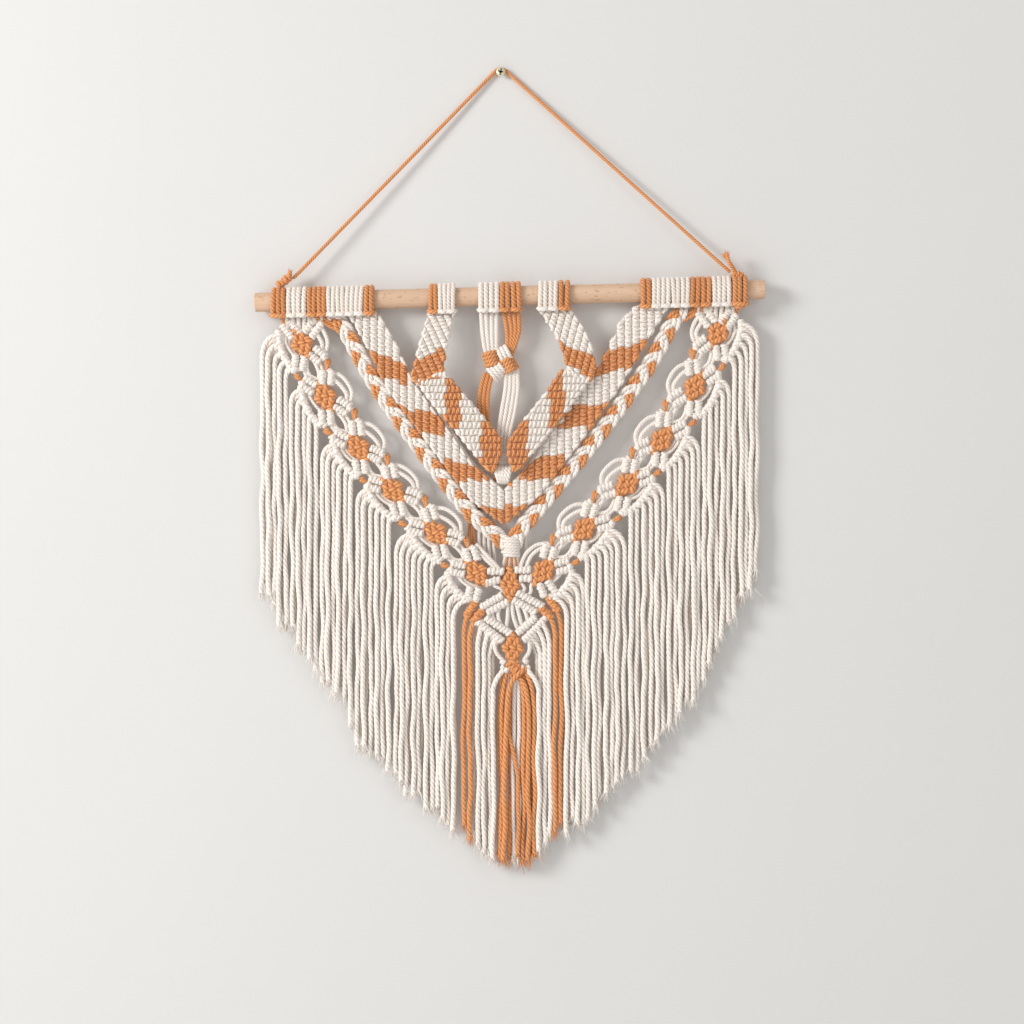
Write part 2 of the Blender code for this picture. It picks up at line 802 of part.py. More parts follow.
def hanging_route():
    """Points of the hanging cord: straight, a bend over the shank, straight again."""
    apex = SHANK_RADIUS + GAP + HANG_RADIUS
    centre = Vector((0.0, apex - HANG_BEND))
    angles = []
    for end in (HANG_LEFT, HANG_RIGHT):
        reach = centre - Vector(end)
        slope = math.atan2(reach.y, abs(reach.x))
        angles.append(slope + math.asin(HANG_BEND / reach.length))
    left, right = angles
    bend = []
    for step in range(HANG_BEND_STEPS + 1):
        angle = left - (left + right) * step / HANG_BEND_STEPS
        bend.append(centre + HANG_BEND * Vector((-math.sin(angle), math.cos(angle))))
    runs = []
    for end, meet in ((HANG_LEFT, bend[0]), (HANG_RIGHT, bend[-1])):
        start = Vector(end)
        steps = max(2, round((meet - start).length / HANG_STEP))
        runs.append([(start.lerp(meet, step / steps), 1.0 - step / steps) for step in range(steps)])
    flat = runs[0] + [(point, 0.0) for point in bend] + runs[1][::-1]
    route = []
    for point, share in flat:
        y = HANG_Y_AT_SCREW + (DOWEL_Y - HANG_Y_AT_SCREW) * share
        route.append(Vector((point.x, y, point.y)))
    return route


def make_hanging_cord(material):
    """The free cord as a bevelled curve with filled ends."""
    curve = bpy.data.curves.new("hanging_cord", "CURVE")
    curve.dimensions = "3D"
    curve.bevel_depth = HANG_RADIUS * MM
    curve.bevel_resolution = 2
    curve.use_fill_caps = True
    curve.render_resolution_u = 0
    spline = curve.splines.new("POLY")
    route = hanging_route()
    spline.points.add(len(route) - 1)
    for point, place in zip(spline.points, route):
        point.co = (place.x * MM, place.y * MM, place.z * MM, 1.0)
    curve.materials.append(material)
    piece = bpy.data.objects.new("hanging_cord", curve)
    bpy.context.scene.collection.objects.link(piece)


def make_cord_knots(material):
    """Turns, knot and free ends of the hanging cord at both dowel ends."""
    name = "cord_knot_left"
    parts = dowel_turns(name, TURNS[name])
    parts.append(lump(name, LEFT_KNOT))
    parts.append(strand(name, LEFT_STUB, TAIL_RADIUS, TAIL_SIDES, 1))
    fuse(name, parts, material)
    name = "cord_knot_right"
    parts = dowel_turns(name, TURNS[name])
    parts.append(lump(name, RIGHT_KNOT))
    for tail in RIGHT_TAILS:
        parts.append(strand(name, tail, TAIL_RADIUS, TAIL_SIDES, 3))
    fuse(name, parts, material, ALL_FACES)


def band_frame(upper, lower, side):
    """Directions along the band, downwards, and away from the middle line."""
    along = (lower - upper).normalized()
    out = Vector((-along.z, 0.0, along.x)) * side
    return along, out


def band_knots(side):
    """Centres of the rust knots of one arm of the V, the top one first."""
    return [leaned(place, side) for place in BAND_KNOTS]


def band_junctions(side):
    """Inner and outer junction between each two neighbouring rust knots."""
    knots = band_knots(side)
    inner = []
    outer = []
    for upper, lower in zip(knots[:-1], knots[1:]):
        along, out = band_frame(upper, lower, side)
        middle = 0.5 * (upper + lower)
        inner.append(middle - out * INNER_REACH)
        outer.append(middle + out * OUTER_REACH)
    return inner, outer


def v_bar(name, start, junction, end):
    """Bar pairs from one knot to a junction and on to the next knot."""
    points = (start.lerp(junction, BAR_START), junction, end.lerp(junction, BAR_START))
    return ridged_bar(name, points, BAR_HALF_WIDTH, BAR_HALF_DEPTH, V_BAR_KNOTS)


def knot_frame(knots, index, side):
    """Directions along and out of the band at one of its knots."""
    return band_frame(knots[max(index - 1, 0)], knots[min(index + 1, len(knots) - 1)], side)


def woven_knot(name, centre, along):
    """A rust knot: a short thick ridged bar along the band."""
    ends = (centre - along * KNOT_HALF_LENGTH, centre + along * KNOT_HALF_LENGTH)
    return ridged_bar(name, ends, KNOT_HALF_WIDTH, KNOT_HALF_DEPTH, KNOT_ROWS_OF_CORD)


def band_arm(side):
    """All pieces of one arm of the V-band, from the dowel to its last rust knot."""
    name = "v_band"
    parts = dowel_turns(name, TURNS["v_band_left" if side < 0.0 else "v_band_right"])
    roof = [leaned(place, side) for place in ROOF_BAR]
    parts.append(ridged_bar(name, roof, BAR_HALF_WIDTH, BAR_HALF_DEPTH, ROOF_BAR_KNOTS))
    knots = band_knots(side)
    for index, knot in enumerate(knots):
        along, out = knot_frame(knots, index, side)
        parts.append(woven_knot(name, knot, along))
        for loop in LOOPS:
            path = []
            for row in LOOP_ROWS:
                path.append(knot + along * (row.place * LOOP_SPAN) + out * (row.swing * loop.reach))
            section = polygon(4, loop.half_width, LOOP_HALF_DEPTH)
            parts.append(closed_mesh(name, sweep(path, lambda index, shape=section: shape)))
    inner, outer = band_junctions(side)
    for index, (upper, lower) in enumerate(zip(knots[:-1], knots[1:])):
        parts.append(v_bar(name, upper, inner[index], lower))
        parts.append(v_bar(name, upper, outer[index], lower))
        along, out = band_frame(upper, lower, side)
        middle = 0.5 * (upper + lower)
        for cord in EYE_CORDS:
            path = [middle + along * place.along + out * place.out for place in cord]
            parts.append(strand(name, path, STRAND_RADIUS, 4, 2))
    return parts


def band_centre():
    """Bars, knots and loops that join the two arms and hang under them."""
    name = "v_band"
    down = Vector((0.0, 0.0, -1.0))
    parts = [woven_knot(name, centre, down) for centre in flat_points(CENTRE_KNOTS)]
    for bar in CENTRE_BARS:
        points = flat_points(bar.points)
        half_width = CENTRE_BAR_HALF_WIDTH
        parts.append(ridged_bar(name, points, half_width, BAR_HALF_DEPTH, bar.knots))
    for rows in CENTRE_LOOPS:
        parts.append(strand(name, flat_points(rows), STRAND_RADIUS, 4, 2))
    parts += [lump(name, row) for row in SMALL_KNOTS]
    return parts


def make_v_band(material):
    """The whole V-band as one fused solid."""
    pieces = band_arm(-1.0) + band_arm(1.0) + band_centre()
    return fuse("v_band", pieces, material, BAND_FACES_KEPT)


def make_panels(material):
    """The four ribbed panels with their turns round the dowel."""
    for name, outline in (("outer_panel_left", OUTER_LEFT), ("outer_panel_right", OUTER_RIGHT)):
        parts = dowel_turns(name, TURNS[name])
        parts.append(ribbed_panel(name, outline, UPRIGHT_RIB, OUTER_PANEL_Y))
        fuse(name, parts, material)
    for name, top, steep, low in (
        ("inner_panel_left", INNER_LEFT_TOP, -STEEP_RIB, INNER_LEFT_LOW),
        ("inner_panel_right", INNER_RIGHT_TOP, STEEP_RIB, INNER_RIGHT_LOW),
    ):
        parts = dowel_turns(name, TURNS[name])
        parts.append(ribbed_panel(name, top, steep, INNER_PANEL_Y, 2))
        parts.append(ribbed_panel(name, low, LEVEL_RIB, INNER_PANEL_Y))
        fuse(name, parts, material)


def braid_section(turn):
    """Outline of three strands that swap places: the reach of the farthest one each way."""
    points = []
    for side in range(BRAID_SIDES):
        angle = math.tau * (side + 0.5) / BRAID_SIDES
        reach = 0.0
        for third in range(3):
            phase = turn + math.tau * third / 3.0
            across = BRAID_SWING * math.sin(phase)
            depth = BRAID_DEPTH_SWING * math.sin(2.0 * phase)
            reach = max(reach, across * math.cos(angle) + depth * math.sin(angle) + BRAID_STRAND)
        points.append((reach * math.cos(angle), reach * math.sin(angle)))
    return points


def make_braids(material):
    """Both plaits, each swept along its centre line."""
    for name, rows in (("braid_left", BRAID_LEFT), ("braid_right", BRAID_RIGHT)):
        path = smooth_path(flat_points(rows), BRAID_RINGS)
        length = sum((b - a).length for a, b in zip(path[:-1], path[1:]))
        step = math.tau * length / (BRAID_REPEAT * BRAID_RINGS)
        plait = closed_mesh(name, sweep(path, lambda index: braid_section(step * index)))
        piece = fuse(name, dowel_turns(name, TURNS[name]) + [plait], material)
    return piece


def make_whipping(braid, material):
    """The whipping that gathers the plaits, with its tails behind the band."""
    name = "gathering_wrap"
    ends = flat_points(((WHIP_X, WHIP_TOP), (WHIP_X, WHIP_BOTTOM)))
    parts = [ridged_bar(name, ends, WHIP_HALF_WIDTH, WHIP_HALF_DEPTH, WHIP_TURNS, WHIP_SIDES)]
    for shift in WHIP_TAILS:
        tail = []
        for row in WHIP_TAIL_ROWS:
            tail.append((WHIP_X + row.spread * shift, DOWEL_Y + row.back, WHIP_BOTTOM + row.rise))
        parts.append(strand(name, tail, WHIP_TAIL_RADIUS, 4, 3))
    seat(fuse(name, parts, material), braid, (0.0, 0.0, -1.0))


def make_centre_tie(material):
    """Cords from the dowel through a crown knot and a round knot, then down behind the panels."""
    name = "centre_tie"
    parts = dowel_turns(name, TURNS[name])
    forward, top = TIE_TOP
    half = TIE_CORDS // 2
    for index in range(TIE_CORDS):
        path = [(TIE_FIRST_X + TIE_PITCH * index, DOWEL_Y - forward, top)]
        side = -1.0 if index < half else 1.0
        place = index % half - 0.5 * (half - 1)
        for row in TIE_ROWS:
            x = TIE_MIDDLE + side * row.spread + row.pitch * place
            path.append((x, DOWEL_Y - row.forward, row.z))
        parts.append(strand(name, path, STRAND_RADIUS, 4, 3))
    parts += [lump(name, row) for row in CROWN_LOBES + (ROUND_KNOT,)]
    for rows in TIE_LOWER:
        parts.append(strand(name, flat_points(rows), TIE_LOWER_RADIUS, 4, 4))
    for rows in TIE_TAILS:
        path = [(x, y, z) for (x, z), y in zip(rows, TIE_TAIL_DEPTHS)]
        parts.append(strand(name, path, TIE_TAIL_RADIUS, 4, 5))
    fuse(name, parts, material)


def strip_point(strip, share):
    """Point of a strip's centre line at a share of its length."""
    place = share * (len(strip) - 1)
    span = min(int(place), len(strip) - 2)
    return strip[span].lerp(strip[span + 1], place - span)


def fringe_end(x):
    """Height of the fringe's end at x, with a small even unevenness."""
    uneven = END_UNEVENNESS * math.sin(END_WAVE * x)
    for before, after in zip(END_ROWS[:-1], END_ROWS[1:]):
        if x <= after.x:
            share = (x - before.x) / (after.x - before.x)
            return before.z + (after.z - before.z) * share + uneven
    return END_ROWS[-1].z


def fringe_strand(name, points, radius):
    """A hanging strand with three sides, straight from point to point."""
    section = polygon(3, radius, radius, 0.25)
    path = [Vector(point) for point in points]
    return closed_mesh(name, sweep(path, lambda index: section))


def make_fringe(index, side, band, material):
    """One scallop: a strip along the band's edge and the strands that fall from it."""
    name = "fringe_%s_%d" % ("left" if side < 0.0 else "right", index + 1)
    knots = band_knots(side)
    outer = band_junctions(side)[1]
    along, out = knot_frame(knots, index, side)
    start = leaned(FRINGE_TOP, side)
    if index:
        start = outer[index - 1] + along * STRIP_START[0] + out * STRIP_START[1]
    end = (outer + [leaned(FRINGE_LAST, side)])[index]
    end = end + along * STRIP_END[0] + out * STRIP_END[1]
    middle = 0.5 * (start + end) + out * STRIP_SWELL
    strip = smooth_path((start, middle, end), 4)
    section = polygon(4, STRIP_HALF_WIDTH, STRIP_HALF_DEPTH)
    parts = [closed_mesh(name, sweep(strip, lambda index: section))]
    scallop = SCALLOPS[index]
    for number in range(scallop.strands):
        share = number / (scallop.strands - 1)
        root = strip_point(strip, STRIP_MARGIN + (1.0 - 2.0 * STRIP_MARGIN) * share)
        x = DOWEL_X + side * (scallop.farthest + (scallop.nearest - scallop.farthest) * share)
        reach = abs(x - root.x)
        shoulder_x = root.x + side * SHOULDER_REACH * reach
        path = (
            root,
            (shoulder_x, DOWEL_Y, root.z + SHOULDER_RISE * reach),
            (x, DOWEL_Y, root.z - HANG_DROP - HANG_SLOPE * reach),
            (x, DOWEL_Y, fringe_end(x)),
        )
        parts.append(fringe_strand(name, path, FRINGE_RADIUS))
    seat(fuse(name, parts, material, ALL_FACES), band, out)


def make_group(name, head, strands, radius, band, material):
    """Strands under the middle diamond: a small head and the strands that fall from it."""
    section = polygon(BAR_SIDES, HEAD_HALF_HEIGHT, HEAD_HALF_DEPTH)
    bar = even_path(flat_points(head), 2)
    parts = [closed_mesh(name, sweep(bar, lambda index: section))]
    for row in strands:
        y = DOWEL_Y + row.depth
        low = row.root_z - GROUP_FALL
        path = (
            (row.root_x, DOWEL_Y, row.root_z),
            (row.x, y, low),
            (row.x + GROUP_SWAY, y, 0.5 * (low + row.end_z)),
            (row.x, y, row.end_z),
        )
        parts.append(fringe_strand(name, path, radius))
    seat(fuse(name, parts, material, ALL_FACES), band, (0.0, 0.0, -1.0))


def tassel_strands():
    """Rows of the tassel's strands: evenly spaced, in a front and a back layer by turns."""
    rows = []
    for number in range(TASSEL_STRANDS):
        share = number / (TASSEL_STRANDS - 1)
        root = TASSEL_ROOTS[0] + (TASSEL_ROOTS[1] - TASSEL_ROOTS[0]) * share
        x = TASSEL_ENDS[0] + (TASSEL_ENDS[1] - TASSEL_ENDS[0]) * share
        layer = TASSEL_LAYER if number % 2 else -TASSEL_LAYER
        end = TASSEL_END_Z - TASSEL_SWELL * math.sin(math.pi * share)
        rows.append(Hang(root, TASSEL_ROOT_Z, x, layer, end))
    return rows


def build():
    """Build every part of the hanging."""
    for old in list(bpy.data.objects):
        bpy.data.objects.remove(old)
    cream = make_material("cream_cotton", CREAM)
    rust = make_material("rust_cotton", RUST)
    make_dowel(make_material("beech", BEECH))
    make_screw(make_material("brass", BRASS))
    make_hanging_cord(rust)
    make_cord_knots(rust)
    band = make_v_band(cream)
    make_panels(cream)
    make_whipping(make_braids(cream), cream)
    make_centre_tie(cream)
    for side in (-1.0, 1.0):
        for index in range(len(SCALLOPS)):
            make_fringe(index, side, band, cream)
    for group in HANGING_GROUPS:
        material = rust if group.finish == "rust" else cream
        make_group(group.name, group.head, group.strands, GROUP_RADIUS, band, material)
    make_group("tassel", TASSEL_HEAD, tassel_strands(), FRINGE_RADIUS, band, rust)


build()
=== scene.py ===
"""Looks of the macrame wall hanging: laid cotton cord, half-hitch bars, plaits, fringe and wood.

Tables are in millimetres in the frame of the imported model: X to the right along the wall, Z up,
-Y towards the viewer, the wall at Y = 0 and the origin at the rear of the wall screw.
"""

import math

import bpy
import numpy as np
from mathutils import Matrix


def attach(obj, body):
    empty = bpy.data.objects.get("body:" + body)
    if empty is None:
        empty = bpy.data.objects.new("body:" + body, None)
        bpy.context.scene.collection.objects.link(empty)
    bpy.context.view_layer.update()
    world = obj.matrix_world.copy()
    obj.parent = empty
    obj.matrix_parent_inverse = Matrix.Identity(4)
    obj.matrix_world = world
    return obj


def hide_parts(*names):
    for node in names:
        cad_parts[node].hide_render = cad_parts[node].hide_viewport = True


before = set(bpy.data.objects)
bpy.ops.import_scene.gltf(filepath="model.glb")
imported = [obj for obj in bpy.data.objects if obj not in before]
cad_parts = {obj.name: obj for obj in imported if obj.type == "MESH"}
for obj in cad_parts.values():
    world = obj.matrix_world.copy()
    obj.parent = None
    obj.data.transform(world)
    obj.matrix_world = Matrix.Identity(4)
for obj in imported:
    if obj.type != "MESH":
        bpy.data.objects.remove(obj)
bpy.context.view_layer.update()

bl_info = {
    "name": "Macrame Wall Hanging",
    "version": (1, 0, 0),
    "blender": (4, 5, 0),
    "location": "View3D > Sidebar > Macrame",
    "description": "Builds the cords, knots, fringe, dowel and screw of a macrame wall hanging",
    "category": "Add Mesh",
}

MM = 0.001
WALL_GAP = 0.8
DEPTH = np.array((0.0, 1.0, 0.0))
CREAM, RUST = 0, 1
# colours of painted shade: cord valleys, yarn lines, fibre speckle and strands behind darken
# towards them
CREAM_SHADE, RUST_SHADE = (0.66, 0.51, 0.39), (0.24, 0.05, 0.008)

# Dowel, its tilt and the cord turns round it.
DOWEL = {"x": 7.2, "y": -12.0, "z": -177.0, "length": 400.0, "radius": 7.5, "lean": 0.0255}
TURN_CORD, HEADING_DROP = 1.95, 11.6
# turns of each piece: start and end along X, number, dye
TURNS = {
    "cord_knot_left": ((-179.6, -168.2, 3, RUST),),
    "v_band_left": ((-167.6, -151.9, 4, CREAM), (-151.7, -136.5, 4, RUST)),
    "braid_left": ((-136.2, -122, 4, CREAM),),
    "outer_panel_left": ((-121.8, -107.3, 4, CREAM), (-107.2, -98.8, 2, RUST)),
    "inner_panel_left": ((-56.3, -49.4, 2, RUST), (-49.2, -35.5, 4, CREAM)),
    "centre_tie": ((-17.5, -1.2, 4, CREAM), (-1, 16.1, 4, RUST)),
    "inner_panel_right": ((29.2, 44.5, 4, CREAM), (44.7, 54.6, 2, RUST)),
    "outer_panel_right": ((109.1, 117.6, 2, RUST), (117.8, 132.7, 4, CREAM)),
    "braid_right": ((133, 147.7, 4, CREAM),),
    "v_band_right": ((148, 164.6, 4, RUST), (164.8, 180.2, 4, CREAM)),
    "cord_knot_right": ((180.6, 193, 3, RUST),),
}

# V-band: rust knots by distance from the middle line and height, and reach of the junctions.
BAND_KNOTS = (
    (163.1, -210), (144.9, -252.3), (118.8, -293), (91.8, -326.8), (58, -361.3), (26.2, -393.4),
)
BAND_TOP = ((149.0, -190.5), (176.4, -192.3))
BAND_LAST = (29.2, -417.6)
LAST_KNOT = len(BAND_KNOTS) - 1
INNER_REACH, OUTER_REACH = 12.4, 14.1
# strands of each scallop: nearest, farthest, count
SCALLOPS = (
    (176.4, 194.2, 5), (152.2, 171.6, 5), (124.8, 147.4, 6), (95, 120, 6), (61.2, 89.6, 7),
    (45, 57.2, 4),
)
# where the fringe ends: x, z
END_LINE = np.array((
    (-190, -406), (-184, -409), (-173, -433), (-160, -446), (-139, -482), (-124, -491),
    (-112, -527), (-101, -538), (-90, -545), (-77, -562), (-56, -579), (-24, -607), (-1, -620),
    (12, -623), (21, -616), (38, -605), (56, -593), (64, -592), (73, -578), (87, -563), (105, -546),
    (119, -535), (126, -518), (142, -502), (157, -489), (162, -472), (171, -449), (182, -429),
    (193, -407), (201, -396),
))

# Knotted panels: outline walked round once, and the areas whose cord is rust.
PANELS = {
    "outer_panel_left": (
        (
            (-120, -191), (-96.5, -189), (-81.6, -214.7), (-67.9, -244.5), (-39.7, -282.9),
            (-21.6, -308.7), (2.8, -329), (2.8, -357.3), (-24.5, -337), (-66.9, -280.2),
            (-89.2, -250.7), (-102.5, -221.7),
        ),
        (
            ((-104.5, -219.5), (-73.5, -232.5), (-71, -247.5), (-97.5, -238.5)),
            ((-80, -264.5), (-47.5, -271), (-40, -286.5), (-67.5, -281.5)),
            ((-49, -304.5), (-20.5, -309), (-8, -322.5), (-37.8, -321)),
            ((-18, -344), (4, -342.6), (4, -360), (-3, -360)),
        ),
    ),
    "outer_panel_right": (
        (
            (132, -184.5), (106, -184.5), (94.3, -195.4), (86.4, -213.1), (72.7, -239.7),
            (58.6, -255.4), (26.4, -304.8), (3.1, -328.5), (3.1, -357), (30.7, -333.8),
            (73.5, -277.4), (95.8, -245.2), (116.2, -210.6),
        ),
        (
            ((115, -212), (83.5, -220.5), (73.5, -240), (103, -232)),
            ((91, -259.5), (56.5, -264), (42.5, -282), (76, -278.5)),
            ((56.5, -302), (29.5, -304.5), (9, -322), (41, -319.5)),
            ((22.5, -341.8), (2, -341.8), (2, -360), (8, -360)),
        ),
    ),
    "inner_panel_left_top": (
        (
            (-56.5, -189.2), (-35.5, -188.6), (-42, -218.2), (-44.5, -234.2), (-43, -241),
            (-66, -247.5), (-70.6, -240.1), (-64.1, -216.2),
        ),
        (((-73.5, -230.5), (-40.5, -217), (-42, -237), (-64.5, -247.5)),),
    ),
    "inner_panel_left_low": (
        (
            (-67.5, -243.5), (-43.5, -236.5), (-30, -252.1), (-8.5, -277.1), (1.2, -289.1),
            (1, -301), (-4, -315), (-11, -314.2), (-37.1, -282.1), (-53.1, -263.2),
        ),
        (
            ((-43.5, -238), (-31, -238), (-31, -284), (-43.5, -284)),
            ((-15, -276), (4, -276), (4, -318), (-15, -318)),
        ),
    ),
    "inner_panel_right_top": (
        (
            (29.3, -187), (54.5, -186.4), (65, -202.1), (72, -218.2), (74.5, -234.2), (70, -245.5),
            (48.5, -239), (51, -231.9), (45.9, -215.1),
        ),
        (((44, -214), (76, -224.5), (77, -246), (69, -246), (68, -239), (50, -233)),),
    ),
    "inner_panel_right_low": (
        (
            (72, -241), (46.5, -235), (35, -252.1), (15, -277.1), (4.9, -291.2), (4.2, -302),
            (9, -315), (15.1, -313.4), (41.9, -281.1), (57, -262),
        ),
        (
            ((37.8, -236), (49.5, -236), (49.5, -283), (37.8, -283)),
            ((2, -275), (20.5, -275), (20.5, -318), (2, -318)),
        ),
    ),
}
OUTER_PANEL_Y, INNER_PANEL_Y, HITCH_PITCH = -15.4, -21.6, 3.35

# Plaits: centre lines from the dowel to the whipping.
PLAITS = {
    "braid_left": (
        (-131.5, -190.5), (-122, -203.5), (-112, -222), (-92.4, -255.4), (-60.2, -299.8),
        (-41.6, -324.6), (-22.8, -347.9), (-4, -364), (5, -373),
    ),
    "braid_right": (
        (143.3, -185), (132, -203), (120.1, -224.9), (104.4, -248.4), (69.9, -294.6),
        (32.3, -340.1), (14, -362.5), (10.4, -373),
    ),
}


def leaned(across, z, side=1):
    """A point of the symmetric layout on the leaning hanging: z rises by the lean with x."""
    across = side * across
    return np.array((DOWEL["x"] + across, DOWEL["y"], z + DOWEL["lean"] * across))


def flat(rows, y=None):
    """Points x, z of the wall's plane as x, y, z, at the dowel's depth unless y is given; a third
    column is added to that depth."""
    x, z, *back = np.asarray(rows, float).T
    depth = (DOWEL["y"] if y is None else y) + (back[0] if back else 0.0)
    return np.stack(np.broadcast_arrays(x, depth, z), axis=-1)


# ---- curves


def spline(points, steps=12):
    """Catmull-Rom curve through the points: each span is a cubic whose slope at a point is half
    the step between its two neighbours."""
    p = np.asarray(points, float)
    p = np.vstack((2 * p[0] - p[1], p, 2 * p[-1] - p[-2]))
    t = np.linspace(0.0, 1.0, steps, endpoint=False)[None, :, None]
    a, b, c, d = (p[i:len(p) - 3 + i, None, :] for i in range(4))
    curve = 2 * b + (c - a) * t + (2 * a - 5 * b + 4 * c - d) * t ** 2
    curve = 0.5 * (curve + (3 * b - a - 3 * c + d) * t ** 3)
    return np.vstack((curve.reshape(-1, p.shape[1]), p[-2]))


def evenly(path, step):
    """Points a step apart along a polyline: its columns are read at equal shares of its length."""
    path = np.asarray(path, float)
    gaps = np.linalg.norm(np.diff(path[:, :3], axis=0), axis=1)
    reach = np.concatenate(((0.0,), np.cumsum(gaps)))
    count = max(3, int(round(reach[-1] / step)) + 1)
    places = np.linspace(0.0, reach[-1], count)
    return np.stack([np.interp(places, reach, column) for column in path.T], axis=1)


def unit(vectors):
    """Vectors divided by their length."""
    return vectors / np.maximum(np.linalg.norm(vectors, axis=-1, keepdims=True), 1e-9)


def frames(path, reference):
    """Tangent of a path, and two directions square to it: the reference less its share along
    the tangent, and the cross product of the two."""
    tangent = unit(np.gradient(path, axis=0))
    reference = np.broadcast_to(reference, path.shape)
    normal = unit(reference - tangent * np.sum(reference * tangent, axis=1, keepdims=True))
    return tangent, normal, np.cross(tangent, normal)


# ---- meshes


def finish_piece(name, mesh, nodes):
    """Put a mesh into the scene as a piece of the root body that replaces its nodes."""
    mesh.validate()
    mesh.shade_smooth()
    piece = bpy.data.objects.new(name, mesh)
    bpy.context.scene.collection.objects.link(piece)
    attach(piece, "root")
    if nodes:
        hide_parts(*nodes)
    return piece


class Skein:
    """Cords and other closed shapes that are joined into the mesh of one piece."""

    def __init__(self, seed):
        self.points, self.faces, self.uv, self.tint, self.dye = [], [], [], [], []
        self.size = 0
        self.chance = np.random.default_rng(seed)

    def add(self, points, faces, uv, dye, tint=None):
        """Keep one closed shape; its tint is one random number for the whole shape."""
        tint = self.chance.random() if tint is None else tint
        self.points.append(points)
        self.faces.append(faces + self.size)
        self.uv.append(uv)
        self.tint.append(np.full(len(points), float(tint)))
        self.dye.append(np.full(len(faces), dye))
        self.size += len(points)

    def piece(self, name, nodes, slot="cream_cotton"):
        """Make the object: a triangle mesh with a UV map, a tint attribute and its materials."""
        points, faces, uv, tint, dyes = map(
            np.concatenate, (self.points, self.faces, self.uv, self.tint, self.dye))
        mesh = bpy.data.meshes.new(name)
        mesh.vertices.add(len(points))
        mesh.vertices.foreach_set("co", (points * MM).astype(np.float32).ravel())
        mesh.loops.add(3 * len(faces))
        mesh.loops.foreach_set("vertex_index", faces.astype(np.int32).ravel())
        mesh.polygons.add(len(faces))
        mesh.polygons.foreach_set("loop_start", np.arange(0, 3 * len(faces), 3, dtype=np.int32))
        used = sorted(set(dyes.tolist()))
        for dye in used:
            mesh.materials.append(looks()[dye])
        mesh.polygons.foreach_set("material_index", np.searchsorted(used, dyes).astype(np.int32))
        mesh.uv_layers.new(name="lay")
        mesh.uv_layers["lay"].data.foreach_set("uv", uv.astype(np.float32).ravel())
        mesh.attributes.new("tint", "FLOAT", "POINT")
        mesh.attributes["tint"].data.foreach_set("value", tint)
        mesh.update(calc_edges=True)
        return finish_piece(name, mesh, nodes)


def tie_piece(name, seed, *steps, nodes=(), slot="cream_cotton"):
    """Make a piece of cords: each step is a function and its values after the skein."""
    skein = Skein(seed)
    for step, *values in steps:
        step(skein, *values)
    return skein.piece(name, nodes, slot)


def ring_faces(rings, sides):
    """Triangles between neighbouring rings, cut along the diagonal that runs back round the
    section, and a fan at each end to one last point there; with their UV corners, which are the
    point's number and the ring's over the number of sides."""
    i, k = np.meshgrid(np.arange(rings - 1), np.arange(sides), indexing="ij")
    ring = i.reshape(-1, 1) + (0, 0, 1, 0, 1, 1)
    point = k.reshape(-1, 1) + (0, 1, 0, 1, 1, 0)
    walls = (ring * sides + point % sides).reshape(-1, 3)
    uv = np.stack((point, ring), axis=2).reshape(-1, 2) / sides
    k = np.arange(sides)
    after, top = (k + 1) % sides, (rings - 1) * sides
    start = np.stack((after, k, np.full(sides, rings * sides)), axis=1)
    end = np.stack((top + k, top + after, np.full(sides, rings * sides + 1)), axis=1)
    cap = np.stack((np.repeat(k / sides, 3), np.zeros(3 * sides)), axis=1)
    return np.vstack((walls, start, end)), np.vstack((uv, cap, cap))


def tube(skein, centres, axes, deep, wide, lip, dye, tint=None):
    """A closed tube: point k of ring i lies at centre i, deep along the normal and wide along the
    side; one last point lies a lip beyond each end."""
    tangent, normal, side = axes
    ring = centres[:, None] + deep[..., None] * normal[:, None]
    ring = ring + wide[..., None] * side[:, None]
    ends = np.stack((centres[0] - lip * tangent[0], centres[-1] + lip * tangent[-1]))
    faces, uv = ring_faces(len(centres), deep.shape[-1])
    skein.add(np.vstack((ring.reshape(-1, 3), ends)), faces, uv, dye, tint)


def laid_cord(skein, path, radius, dye, reference=DEPTH, sides=6, tight=1.0, tint=None):
    """A cord of three plies.  Ring i has its points at equal angles round the path; point k lies
    at the radius, or at the valley's share of it where k + i is a multiple of a third of the
    sides, so the three valleys wind round the cord once in 4.25 radii.  The path's columns after
    the third are the reference for its frames, where it has them.  The end rings are smaller."""
    path = np.asarray(path, float)
    if path.shape[1] == 3:
        path = np.hstack((path, np.broadcast_to(reference, path.shape)))
    path = evenly(path, 4.25 * radius * tight / sides)
    centres = path[:, :3]
    i, k = np.meshgrid(np.arange(len(centres)), np.arange(sides), indexing="ij")
    valley = 0.76 if sides > 6 else 0.80
    reach = np.where((i + k) % (sides // 3) == 0, valley, 1.0) * radius
    reach[[0, -1]] *= 0.8
    angle = 2 * np.pi * k / sides
    tube(skein, centres, frames(centres, path[:, 3:]), reach * np.cos(angle),
         reach * np.sin(angle), 0.4 * radius, dye, tint)


def core(skein, path, half_width, half_depth, dye, shear=0.0):
    """A smooth elliptical tube along a path: cosine in depth, sine across, and along the path by
    the shear times the place across."""
    line = evenly(np.column_stack((path, np.broadcast_to(shear, (len(path),)))), 3.0)
    tangent, normal, side = frames(line[:, :3], DEPTH)
    angle = 2 * np.pi * np.arange(8) / 8
    tube(skein, line[:, :3], (tangent, normal, side + line[:, 3:] * tangent),
         half_depth * np.cos(angle), half_width * np.sin(angle), 0.3, dye)


